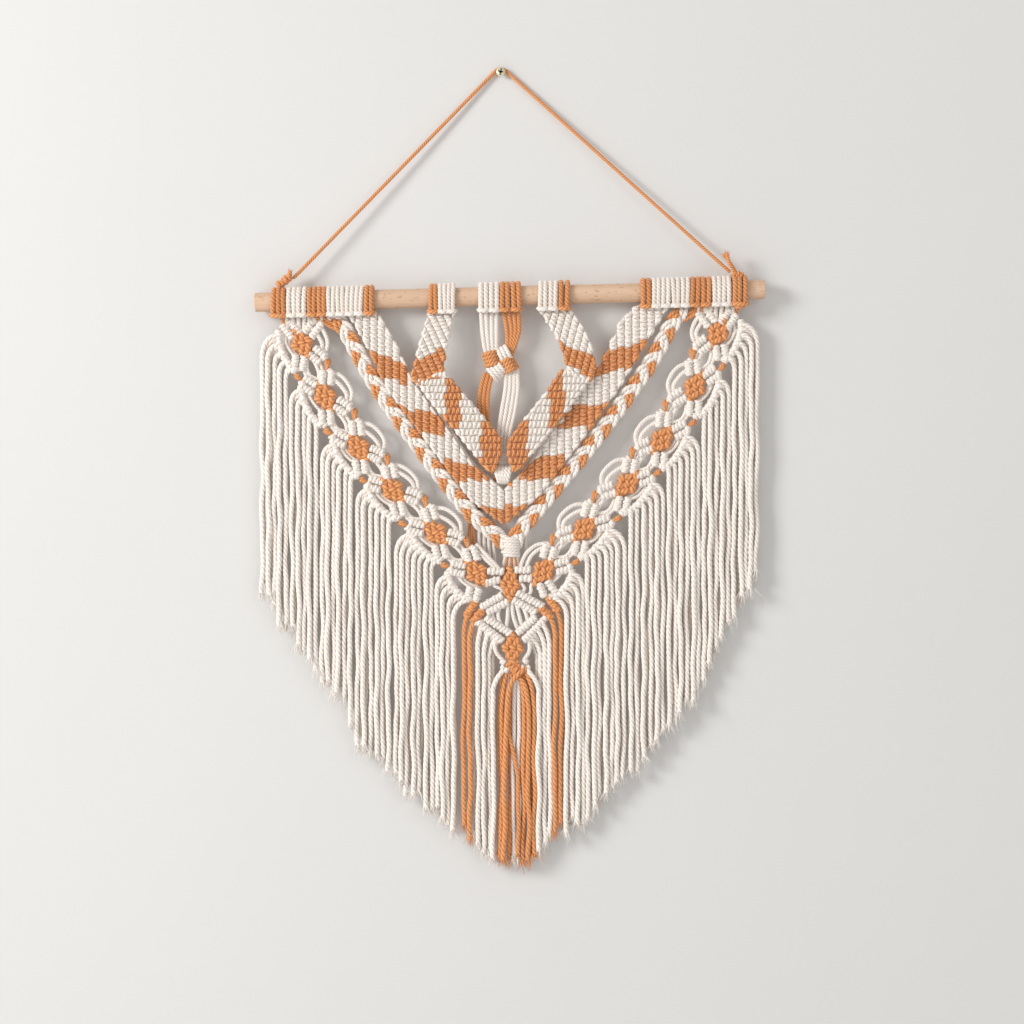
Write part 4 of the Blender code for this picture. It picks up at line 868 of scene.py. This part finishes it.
# strands of the tassel: dye, radius, depth, end, then x and z from the top
TASSEL = (
    (RUST, 2, 2.4, -615, ((6, -468), (1.6, -478), (-0.8, -500))),
    (RUST, 2, 0.6, -618, ((6.5, -467), (3.2, -478), (0.8, -500))),
    (
        RUST, 2.1, -2.8, -619,
        ((19.6, -468.4), (15.4, -472), (10.4, -477), (6.2, -487), (4.3, -514), (2.8, -556)),
    ),
    (RUST, 1.8, -1.2, -616, ((4, -510), (6, -521), (10.2, -536), (13.4, -553))),
    (CREAM, 1.7, 1.2, -618, ((10.4, -476), (10.6, -484), (10.2, -500))),
    (CREAM, 1.7, 1, -620, ((12.8, -476), (13.9, -484), (14.2, -500))),
    (RUST, 2, 0.2, -622, ((13, -473.6), (16.8, -482), (18.2, -497))),
    (RUST, 2, -1.8, -619, ((13, -474.4), (19, -483), (21.8, -500))),
    (RUST, 2, -0.4, -616, ((19, -471), (23.6, -482), (26, -500))),
    (RUST, 2, 3, -620, ((9, -472), (8, -484), (7, -500))),
    (RUST, 2, 3.2, -617, ((14, -472), (16.6, -486), (17, -502))),
    (RUST, 2, 2.8, -614, ((17, -472), (21, -486), (23.8, -502))),
)


def under_strands(skein, name):
    """Strands that leave the bars under the middle diamond and hang down."""
    dye, y = (RUST if name.startswith("rust") else CREAM), DOWEL["y"]
    for ends in LEAVES.get(name, ()):
        half_hitches(skein, flat(ends), 4.0, 4.3, 3.8, RUST, cord=2.0)
    for root, z, x, end, depth in UNDER_STRANDS[name]:
        lead = ((root, y + 1.0, z + 3.0), (root, y - 1.0, z - 1.0),
                (0.6 * x + 0.4 * root, y + depth - 0.4, z - 7.0), (x, y + depth, z - 15.0))
        # painted shade on the strands that hang farther back
        tint = painted_shade_tint(skein) if depth > 4.0 else None
        hanging_strand(skein, np.array(lead), x, end, dye, depth=depth, tint=tint)


def tassel(skein):
    """The rust strands under the lowest knot, fanned out in layers, two of them cream; one crosses
    in front at the top."""
    for dye, radius, depth, end, rows in TASSEL:
        path = flat(rows, DOWEL["y"] + depth)
        path[0, 1] = DOWEL["y"] + 0.4 * depth
        hanging_strand(skein, path, rows[-1][0], end, dye, depth=depth, radius=radius, sway=0.7)
    half_hitches(skein, flat(((5.5, -464.0), (13.5, -471.0))), 4.2, 4.0, 3.4, RUST, cord=1.9)


# knots of the hanging cord by side: ends and half width of the body, free ends, loop
DOWEL_KNOTS = {
    -1: (
        ((-175.0, -13.0, -169.8), (-164.4, -13.0, -161.2)), 3.9,
        (((-167.6, -14.0, -163.8), (-165.6, -15.2, -160.2), (-164.9, -15.4, -157.8)),),
        ((-176.0, -16.0, -191.6), (-171.0, -20.6, -193.4), (-166.2, -16.0, -191.8)),
    ),
    1: (
        ((181.4, -13.4, -160.0), (189.6, -13.4, -161.6)), 3.7,
        (((186.0, -13.5, -161.5), (180.5, -14.9, -153.0), (176.6, -15.2, -147.4),
          (174.4, -15.4, -145.0)),
         ((184.5, -14.8, -161.0), (179.5, -16.6, -153.0), (177.4, -17.0, -146.8),
          (176.6, -17.0, -143.6))),
        ((181.6, -16.0, -184.8), (186.0, -20.4, -186.6), (190.6, -16.0, -185.0)),
    ),
}


def knot_at_dowel(skein, side):
    """The hanging cord's knot over the dowel's end: slanted wraps, a bulged loop and free ends."""
    body, width, tails, loop = DOWEL_KNOTS[side]
    half_hitches(skein, np.array(body), width, 4.2, 3.2, RUST, cord=1.55)
    for rows in (*tails, loop):
        laid_cord(skein, spline(rows), 1.5, RUST, sides=9)
    for rows in tails:
        way = np.subtract(rows[-1], rows[-2])
        frayed_tip(skein, rows[-1], 1.4, RUST, way=way, count=12, length=4.5)


# ---- materials


class Nodes:
    """Short hand for a material's node tree."""

    def __init__(self, name):
        self.material = bpy.data.materials.new(name)
        self.material.use_nodes = True
        self.tree = self.material.node_tree
        self.shader = self.tree.nodes["Principled BSDF"]

    def feed(self, node, values):
        """Give inputs of a node their values: a link from an output, a colour or a number."""
        for key, value in values.items():
            socket = node.inputs[key]
            if isinstance(value, bpy.types.NodeSocket):
                self.tree.links.new(value, socket)
            else:
                socket.default_value = (*value, 1.0) if socket.type == "RGBA" else value

    def put(self, kind, values, **settings):
        """Add a node with its settings and the values of its inputs."""
        node = self.tree.nodes.new("ShaderNode" + kind)
        for key, value in settings.items():
            setattr(node, key, value)
        self.feed(node, values)
        return node

    def place(self):
        """The place on the piece in its own coordinates."""
        return self.put("TexCoord", {}).outputs["Object"]

    def maths(self, operation, first, second=0.5, clamp=False):
        """A Math node of two values, each an output or a number."""
        values = {0: first, 1: second}
        return self.put("Math", values, operation=operation, use_clamp=clamp).outputs[0]

    def times(self, first, second, clamp=False):
        """The product of two values."""
        return self.maths("MULTIPLY", first, second, clamp)

    def less(self, first, second, clamp=False):
        """The first value less the second."""
        return self.maths("SUBTRACT", first, second, clamp)

    def noise(self, vector, scale, detail=3.0, rough=0.6):
        """Noise texture of a vector."""
        values = {"Vector": vector, "Scale": scale, "Detail": detail, "Roughness": rough}
        return self.put("TexNoise", values).outputs["Fac"]

    def blend(self, factor, first, second):
        """Colour mix of two colours, each an output or a colour."""
        values = {"Factor": factor, "A": first, "B": second}
        return self.put("Mix", values, data_type="RGBA").outputs["Result"]

    def finish(self, colour, height, strength, distance, values):
        """Give the shader its colour, a bump from a height and its other values."""
        bump = self.put("Bump", {"Strength": strength, "Distance": distance, "Height": height})
        self.feed(self.shader, {"Base Color": colour, "Normal": bump.outputs["Normal"], **values})
        return self.material


def cotton(name, light, dark, shade):
    """Laid cotton: the three plies follow the UV map, with painted shade in the valleys between
    them, fine yarns along each ply whose lines between them are painted shade, a fine fibre
    speckle that is painted shade too, soft blotches and a short fuzz as sheen.  The tint of a cord
    moves it from dark to light, and below zero towards the shade: painted shade on strands that
    hang behind the others."""
    n = Nodes(name)
    split = n.put("SeparateXYZ", {0: n.put("UVMap", {}, uv_map="lay").outputs["UV"]})
    u, v = split.outputs[0], split.outputs[1]
    ply = n.times(n.maths("ADD", u, v), 3.0)
    place = n.maths("ABSOLUTE", n.less(n.maths("FRACT", ply), 0.5))
    valley = n.maths("POWER", n.times(place, 2.0, clamp=True), 3.0)
    yarn = n.maths("ABSOLUTE", n.less(n.maths("FRACT", n.less(n.times(ply, 4.0), v)), 0.5))
    fibre = n.noise(n.place(), 2600.0, 4.0, 0.75)
    blotch = n.noise(n.place(), 90.0)
    tint = n.put("Attribute", {}, attribute_name="tint").outputs["Fac"]
    mixed = n.maths("ADD", n.times(tint, 0.45, clamp=True), n.times(blotch, 0.75))
    colour = n.blend(n.less(mixed, 0.1, clamp=True), dark, light)
    # painted shade: the colour that a tint below zero moves a cord to, as on strands hanging behind
    behind = tuple(0.6 * d + 0.4 * s for d, s in zip(dark, shade))
    colour = n.blend(n.times(tint, -1.0, clamp=True), colour, behind)
    # painted shade: the valleys between the plies darken towards the shade colour
    colour = n.blend(n.times(valley, 0.72), colour, shade)
    # painted shade: dark lines between the yarns
    colour = n.blend(n.times(yarn, 0.32), colour, shade)
    # painted shade: a fine speckle between the fibres
    colour = n.blend(n.times(n.less(fibre, 0.47, clamp=True), 0.9), colour, shade)
    height = n.less(n.times(fibre, 0.5), n.times(valley, 1.2))
    height = n.maths("ADD", height, n.times(yarn, 0.7))
    return n.finish(colour, height, 0.55, 0.0006, {
        "Roughness": 0.92, "Specular IOR Level": 0.18, "Sheen Weight": 0.22,
        "Sheen Roughness": 0.5})


def beech(name):
    """Sanded beech: long faint grain along the rod, short darker flecks and paler streaks."""
    n = Nodes(name)
    turned = n.put("Mapping", {"Vector": n.place(), "Location": (0.0, 0.012, 0.177)}).outputs[0]
    along = n.put("Mapping", {"Vector": turned, "Scale": (0.05, 1.0, 1.0)}).outputs[0]
    short = n.put("Mapping", {"Vector": turned, "Scale": (0.22, 1.0, 1.0)}).outputs[0]
    grain = n.noise(along, 420.0, 5.0)
    broad = n.noise(along, 110.0, 2.0, 0.5)
    cells = n.put("TexVoronoi", {"Vector": short, "Scale": 620.0}, feature="F1")
    patch = n.maths("GREATER_THAN", n.noise(turned, 260.0, 2.0), 0.53)
    fleck = n.times(n.maths("LESS_THAN", cells.outputs["Distance"], 0.30), patch)
    colour = n.blend(n.times(grain, 1.1, clamp=True), (0.67, 0.47, 0.33), (0.54, 0.345, 0.22))
    streak = n.times(n.less(broad, 0.45, clamp=True), 1.6)
    colour = n.blend(streak, colour, (0.71, 0.515, 0.37))
    colour = n.blend(n.times(fleck, 0.75), colour, (0.40, 0.21, 0.11))
    rough = n.maths("ADD", n.times(grain, 0.16), 0.5)
    height = n.less(grain, n.times(fleck, 0.4))
    return n.finish(colour, height, 0.25, 0.0004, {"Roughness": rough})


def plated(name):
    """Yellow zinc plating: a warm metal with cloudy roughness, with painted shade, near black, down
    in the recess, which is where the place is near the head's middle and close to the recess's
    depth."""
    n = Nodes(name)
    cloud = n.noise(n.place(), 900.0, 4.0)
    colour = n.blend(cloud, (0.80, 0.74, 0.52), (0.62, 0.58, 0.42))
    x, y, z = n.put("SeparateXYZ", {0: n.place()}).outputs
    deep = n.maths("LESS_THAN", n.maths("ABSOLUTE", n.maths("ADD", y, 0.0053)), 0.0007)
    square = n.maths("ADD", n.maths("POWER", x, 2.0), n.maths("POWER", z, 2.0))
    near = n.maths("LESS_THAN", square, 0.0027 ** 2)
    # painted shade: the cross recess is painted near black
    colour = n.blend(n.times(deep, near), colour, (0.015, 0.012, 0.01))
    rough = n.maths("ADD", n.times(cloud, 0.25), 0.18)
    return n.finish(colour, cloud, 0.12, 0.0002, {"Roughness": rough, "Metallic": 0.6})


def wall_plaster():
    """Pale plaster with a faint grain; a wall seen from its rear is clear, by Backfacing."""
    n = Nodes("wall_plaster")
    colour = n.blend(n.noise(n.place(), 3.0, 3.0, 0.5), (0.635, 0.63, 0.622), (0.66, 0.655, 0.648))
    n.finish(colour, n.noise(n.place(), 120.0, 5.0), 0.08, 0.0008, {"Roughness": 0.9})
    facing = n.put("NewGeometry", {}).outputs["Backfacing"]
    clear = n.put("BsdfTransparent", {}).outputs[0]
    choose = n.put("MixShader", {0: facing, 1: n.shader.outputs[0], 2: clear})
    n.feed(n.tree.nodes["Material Output"], {"Surface": choose.outputs[0]})
    return n.material


def floor_paint():
    """Pale matt paint."""
    n = Nodes("floor_paint")
    n.feed(n.shader, {"Base Color": (0.78, 0.775, 0.765), "Roughness": 0.85})
    return n.material


def looks():
    """The two cords' materials, made once, by dye."""
    props, made = bpy.context.scene.macrame_cord, bpy.data.materials
    for name, colour, keep, shade in (("cream_cord", props.cream, 0.93, CREAM_SHADE),
                                      ("rust_cord", props.rust, 0.87, RUST_SHADE)):
        if name not in made:
            cotton(name, tuple(colour), tuple(keep * c for c in colour), shade)
    return {CREAM: made["cream_cord"], RUST: made["rust_cord"]}


# ---- rigid pieces


def grid_piece(name, rings, material, node):
    """A closed surface from rings of points of a turned piece: quads between the rings, and each
    end ring closed by one face."""
    count, sides = rings.shape[:2]
    i, k = np.meshgrid(np.arange(count - 1), np.arange(sides), indexing="ij")
    i, k = i.ravel(), k.ravel()
    a, b = i * sides + k, i * sides + (k + 1) % sides
    faces = np.stack((a, b, b + sides, a + sides), axis=1).tolist()
    faces += [list(range(sides))[::-1], list(range((count - 1) * sides, count * sides))]
    mesh = bpy.data.meshes.new(name)
    mesh.from_pydata((rings.reshape(-1, 3) * MM).tolist(), [], faces)
    mesh.materials.append(material)
    finish_piece(name, mesh, (node,))


def dowel_rings():
    """The rod: circles along its leaning axis, with a rounded edge at both ends."""
    half, edge = 0.5 * DOWEL["length"], 0.7
    end = half - edge * (1 - np.sin(np.linspace(0.0, 0.5 * np.pi, 5)))
    x = np.concatenate((-end[::-1], (-0.5 * half, 0.0, 0.5 * half), end))[:, None]
    gap = np.clip(np.abs(x) - half + edge, 0.0, edge)
    r = DOWEL["radius"] - edge + np.sqrt(np.maximum(edge ** 2 - gap ** 2, 0.0))
    turn = 2 * np.pi * np.arange(64) / 64
    y, z = r * np.cos(turn), r * np.sin(turn)
    lean = math.atan(DOWEL["lean"])
    across = x * math.cos(lean) - z * math.sin(lean)
    up = x * math.sin(lean) + z * math.cos(lean)
    return np.stack((DOWEL["x"] + across, DOWEL["y"] + y, DOWEL["z"] + up), axis=2)


def screw_rings():
    """The screw: shank, flat underside, domed head, and a cross recess sunk where one of the two
    crossed bars passes; all as one grid of rings by angle."""
    face = np.linspace(3.3, 0.04, 60)
    rim = 3.6 - 0.25 * (1 - np.cos(np.linspace(0.3, 1.57, 4)))
    r = np.concatenate(((0.6, 1.5, 1.5, 3.2, 3.6, 3.6), rim, face))
    dome = -5.7 - 1.2 * (1.0 - (face / 3.5) ** 2) ** 0.8
    shank = (0.0, 0.0, -4.5, -4.5, -4.75, -5.4)
    y = np.concatenate((shank, np.linspace(-5.5, -5.75, 4), dome))
    turn = -2 * np.pi * np.arange(120) / 120
    x, z = r[:, None] * np.cos(turn)[None], r[:, None] * np.sin(turn)[None]
    one = np.abs(x * math.cos(0.2) - z * math.sin(0.2))
    two = np.abs(x * math.sin(0.2) + z * math.cos(0.2))
    bars = np.minimum(np.maximum(one / 0.62, two / 2.3), np.maximum(two / 0.62, one / 2.3))
    sink = np.clip((1.12 - bars) / 0.24, 0.0, 1.0)
    sink[:10] = 0.0
    return np.stack((x, y[:, None] + 2.2 * sink, z), axis=2)


def hanging_route():
    """The hanging cord's line: straight from the left knot, 6 mm round over the shank, straight
    to the right knot; its depth goes evenly from the dowel's to the screw's."""
    apex, bend, at_screw = 2.8, 6.0, -2.3
    centre = np.array((0.0, apex - bend))
    ends = np.array(((-162.5, -162.9), (179.7, -158.2)))
    left, right = (math.atan2(reach[1], abs(reach[0])) + math.asin(bend / np.linalg.norm(reach))
                   for reach in centre - ends)
    turn = np.linspace(left, -right, 9)
    arc = centre + bend * np.stack((-np.sin(turn), np.cos(turn)), axis=1)
    share = np.linspace(1.0, 0.0, 26)[:-1, None]
    legs = [share * end + (1 - share) * touch for end, touch in zip(ends, arc[[0, -1]])]
    near = np.concatenate((share[:, 0], np.zeros(9), share[::-1, 0]))
    return flat(np.vstack((legs[0], arc, legs[1][::-1])), at_screw + (DOWEL["y"] - at_screw) * near)


# ---- settings


class MacrameCordSettings(bpy.types.PropertyGroup):
    """Colours of the cords."""

    cream: bpy.props.FloatVectorProperty(
        name="Cream", description="Colour of the undyed cotton", subtype="COLOR",
        default=(0.975, 0.935, 0.895), min=0.0, max=1.0)
    rust: bpy.props.FloatVectorProperty(
        name="Rust", description="Colour of the dyed cotton", subtype="COLOR",
        default=(0.91, 0.415, 0.17), min=0.0, max=1.0)


class MacrameStageSettings(bpy.types.PropertyGroup):
    """Light and view."""

    key_power: bpy.props.FloatProperty(
        name="Key light", description="Power of the soft light from the upper left", default=66.0,
        min=0.0, unit="POWER")
    fill: bpy.props.FloatProperty(
        name="Fill", description="Strength of the even light from all round", default=0.60, min=0.0)
    camera_distance: bpy.props.FloatProperty(
        name="Camera distance", description="Distance from the camera to the dowel's depth",
        default=1.896, min=0.2, unit="LENGTH")


class MacrameFringeSettings(bpy.types.PropertyGroup):
    """Fringe."""

    seed: bpy.props.IntProperty(
        name="Seed", description="Number that fixes the strands' small irregularities", default=7)


# ---- operators


# stage, in metres: corners of the wall and the floor
WALL = ((-2.4, 0.0, -0.95), (2.4, 0.0, -0.95), (2.4, 0.0, 1.6), (-2.4, 0.0, 1.6))
FLOOR = ((-3.0, -3.2, -0.95), (3.0, -3.2, -0.95), (3.0, 3.2, -0.95), (-3.0, 3.2, -0.95))
# lights: place, share of the key light's power, size, colour; and the point that they face
LIGHTS = (
    ("key_light", (-2.3, -1.75, 0.5), 1.0, 0.95, (1.0, 0.99, 0.975)),
    ("fill_light", (1.6, -2.4, 0.3), 0.14, 1.8, (1.0, 0.99, 0.98)),
    ("rear_light", (0.6, 2.2, 0.5), 0.3, 1.6, (1.0, 1.0, 1.0)),
)
LIT_POINT = (0.0, 0.0, -0.33)


class MACRAME_OT_stage(bpy.types.Operator):
    """Make the wall, the floor, the lights and the camera"""

    bl_idname = "macrame.stage"
    bl_label = "Stage"

    def execute(self, context):
        scene, props = context.scene, context.scene.macrame_stage

        def show(name, data, place=(0.0, 0.0, 0.0), turn=(0.0, 0.0, 0.0)):
            """An object in the scene, turned and in its place."""
            shown = bpy.data.objects.new(name, data)
            shown.location, shown.rotation_euler = place, turn
            scene.collection.objects.link(shown)
            return shown

        for name, material, corners in (("stage_wall", wall_plaster(), WALL),
                                        ("stage_floor", floor_paint(), FLOOR)):
            mesh = bpy.data.meshes.new(name)
            mesh.from_pydata(corners, [], [(0, 1, 2, 3)])
            mesh.materials.append(material)
            sheet = show(name, mesh)
            sheet.visible_shadow = name != "stage_wall"
        for name, place, share, size, colour in LIGHTS:
            lamp = bpy.data.lights.new(name, "AREA")
            lamp.energy, lamp.size, lamp.color = props.key_power * share, size, colour
            x, y, z = np.subtract(LIT_POINT, place)
            show(name, lamp, place, (math.atan2(math.hypot(x, y), -z), 0.0, math.atan2(-x, y)))
        world = bpy.data.worlds.new("soft_room")
        world.use_nodes = True
        light = world.node_tree.nodes["Background"].inputs
        light["Color"].default_value = (1.0, 0.99, 0.98, 1.0)
        light["Strength"].default_value = props.fill
        scene.world = world
        camera = bpy.data.cameras.new("front_view")
        camera.lens, camera.sensor_width = 85.0, 36.0
        place = (0.0088, -0.012 - props.camera_distance, -0.3464)
        scene.camera = show("front_view", camera, place, (math.radians(90.0), 0.0, 0.0))
        scene.view_settings.view_transform = "Standard"
        return {"FINISHED"}


class MACRAME_OT_dowel(bpy.types.Operator):
    """Make the beech dowel"""

    bl_idname = "macrame.dowel"
    bl_label = "Dowel"

    def execute(self, context):
        grid_piece("dowel_wood", dowel_rings(), beech("sanded_beech"), "dowel")
        return {"FINISHED"}


class MACRAME_OT_screw(bpy.types.Operator):
    """Make the wall screw"""

    bl_idname = "macrame.screw"
    bl_label = "Wall screw"

    def execute(self, context):
        grid_piece("screw_metal", screw_rings(), plated("yellow_zinc"), "wall_screw")
        return {"FINISHED"}


class MACRAME_OT_hanging_cord(bpy.types.Operator):
    """Make the hanging cord and its two knots"""

    bl_idname = "macrame.hanging_cord"
    bl_label = "Hanging cord"

    def execute(self, context):
        route = hanging_route()
        skein = Skein(11)
        laid_cord(skein, route, 1.5, RUST, sides=9, tint=0.5)
        rope = skein.piece("hanging_rope", ("hanging_cord",), "rust_cotton")
        for name, side, seed in (("cord_knot_left", -1, 12), ("cord_knot_right", 1, 13)):
            tie_piece(name + "_rope", seed, (dowel_turns, name), (knot_at_dowel, side),
                      nodes=(name,), slot="rust_cotton")
        return {"FINISHED"}


class MACRAME_OT_band(bpy.types.Operator):
    """Make the V-band of rust knots and cream bars"""

    bl_idname = "macrame.band"
    bl_label = "V-band"

    def execute(self, context):
        for name, side, seed in (("v_band_left", -1, 21), ("v_band_right", 1, 22)):
            tie_piece(name + "_cords", seed, (dowel_turns, name), (band_arm, side),
                      nodes=("v_band",))
        tie_piece("v_band_middle_cords", 23, (band_middle,))
        return {"FINISHED"}


class MACRAME_OT_outer_panels(bpy.types.Operator):
    """Make the two long panels"""

    bl_idname = "macrame.outer_panels"
    bl_label = "Outer panels"

    def execute(self, context):
        for name, grain, seed in (("outer_panel_left", 0.2, 31), ("outer_panel_right", -0.2, 32)):
            edge = spline(flat(EDGE_CORDS[name], -14.2))
            tie_piece(name + "_cords", seed, (dowel_turns, name),
                      (ribbed_panel, name, 90.0, OUTER_PANEL_Y, 5.8, grain),
                      (laid_cord, edge, 1.3, CREAM), nodes=(name,))
        return {"FINISHED"}


class MACRAME_OT_inner_panels(bpy.types.Operator):
    """Make the two short panels, whose ribs turn half way down"""

    bl_idname = "macrame.inner_panels"
    bl_label = "Inner panels"

    def execute(self, context):
        for name, turn, seed in (("inner_panel_left", -65.0, 33), ("inner_panel_right", 75.0, 34)):
            tie_piece(name + "_cords", seed, (dowel_turns, name),
                      (ribbed_panel, name + "_top", turn, INNER_PANEL_Y, 5.4),
                      (ribbed_panel, name + "_low", 0.0, INNER_PANEL_Y, 5.8), nodes=(name,))
        return {"FINISHED"}


class MACRAME_OT_plaits(bpy.types.Operator):
    """Make the two plaits and the whipping that gathers them"""

    bl_idname = "macrame.plaits"
    bl_label = "Plaits"

    def execute(self, context):
        for name, seed in (("braid_left", 41), ("braid_right", 42)):
            tie_piece(name + "_cords", seed, (dowel_turns, name), (plait, PLAITS[name]),
                      nodes=(name,))
        tie_piece("gathering_wrap_cords", 43, (whipping,), nodes=("gathering_wrap",))
        return {"FINISHED"}


class MACRAME_OT_centre_tie(bpy.types.Operator):
    """Make the cords and knots of the centre tie"""

    bl_idname = "macrame.centre_tie"
    bl_label = "Centre tie"

    def execute(self, context):
        name = "centre_tie"
        tie_piece(name + "_cords", 51, (dowel_turns, name), (centre_tie,), nodes=(name,))
        return {"FINISHED"}


class MACRAME_OT_fringe(bpy.types.Operator):
    """Make the twelve scallops of the fringe"""

    bl_idname = "macrame.fringe"
    bl_label = "Fringe"

    def execute(self, context):
        seed = context.scene.macrame_fringe.seed * 100
        for side, word in ((-1, "left"), (1, "right")):
            for index in range(len(SCALLOPS)):
                name = "fringe_%s_%d" % (word, index + 1)
                tie_piece(name + "_strands", seed + 10 * side + index, (scallop, index, side),
                          nodes=(name,))
        return {"FINISHED"}


class MACRAME_OT_middle_strands(bpy.types.Operator):
    """Make the strands under the middle of the band"""

    bl_idname = "macrame.middle_strands"
    bl_label = "Middle strands"

    def execute(self, context):
        for number, name in enumerate(UNDER_STRANDS):
            slot = "rust_cotton" if name.startswith("rust") else "cream_cotton"
            tie_piece(name + "_cords", 61 + number, (under_strands, name), nodes=(name,), slot=slot)
        tie_piece("tassel_cords", 66, (tassel,), nodes=("tassel",), slot="rust_cotton")
        return {"FINISHED"}


OPERATORS = (
    MACRAME_OT_stage, MACRAME_OT_hanging_cord, MACRAME_OT_dowel, MACRAME_OT_screw, MACRAME_OT_band,
    MACRAME_OT_outer_panels, MACRAME_OT_inner_panels, MACRAME_OT_plaits, MACRAME_OT_centre_tie,
    MACRAME_OT_fringe, MACRAME_OT_middle_strands,
)


class MACRAME_PT_panel(bpy.types.Panel):
    """Sidebar panel with the settings and one button for each group of pieces"""

    bl_idname = "MACRAME_PT_panel"
    bl_label = "Macrame Wall Hanging"
    bl_space_type = "VIEW_3D"
    bl_region_type = "UI"
    bl_category = "Macrame"

    def draw(self, context):
        column = self.layout.column()
        for settings in ("macrame_cord", "macrame_fringe", "macrame_stage"):
            group = getattr(context.scene, settings)
            for name in group.__annotations__:
                column.prop(group, name)
        for operator in OPERATORS:
            column.operator(operator.bl_idname)


SETTINGS = (
    ("macrame_cord", MacrameCordSettings),
    ("macrame_fringe", MacrameFringeSettings),
    ("macrame_stage", MacrameStageSettings),
)


def register():
    """Register the settings, the operators and the panel."""
    for name, group in SETTINGS:
        bpy.utils.register_class(group)
        setattr(bpy.types.Scene, name, bpy.props.PointerProperty(type=group))
    for operator in OPERATORS + (MACRAME_PT_panel,):
        bpy.utils.register_class(operator)


def unregister():
    """Take back what register did."""
    for operator in (MACRAME_PT_panel,) + OPERATORS[::-1]:
        bpy.utils.unregister_class(operator)
    for name, group in SETTINGS[::-1]:
        delattr(bpy.types.Scene, name)
        bpy.utils.unregister_class(group)


def main():
    register()
    for operator in OPERATORS:
        getattr(bpy.ops.macrame, operator.bl_idname.partition(".")[2])()


if __name__ == "__main__":
    main()
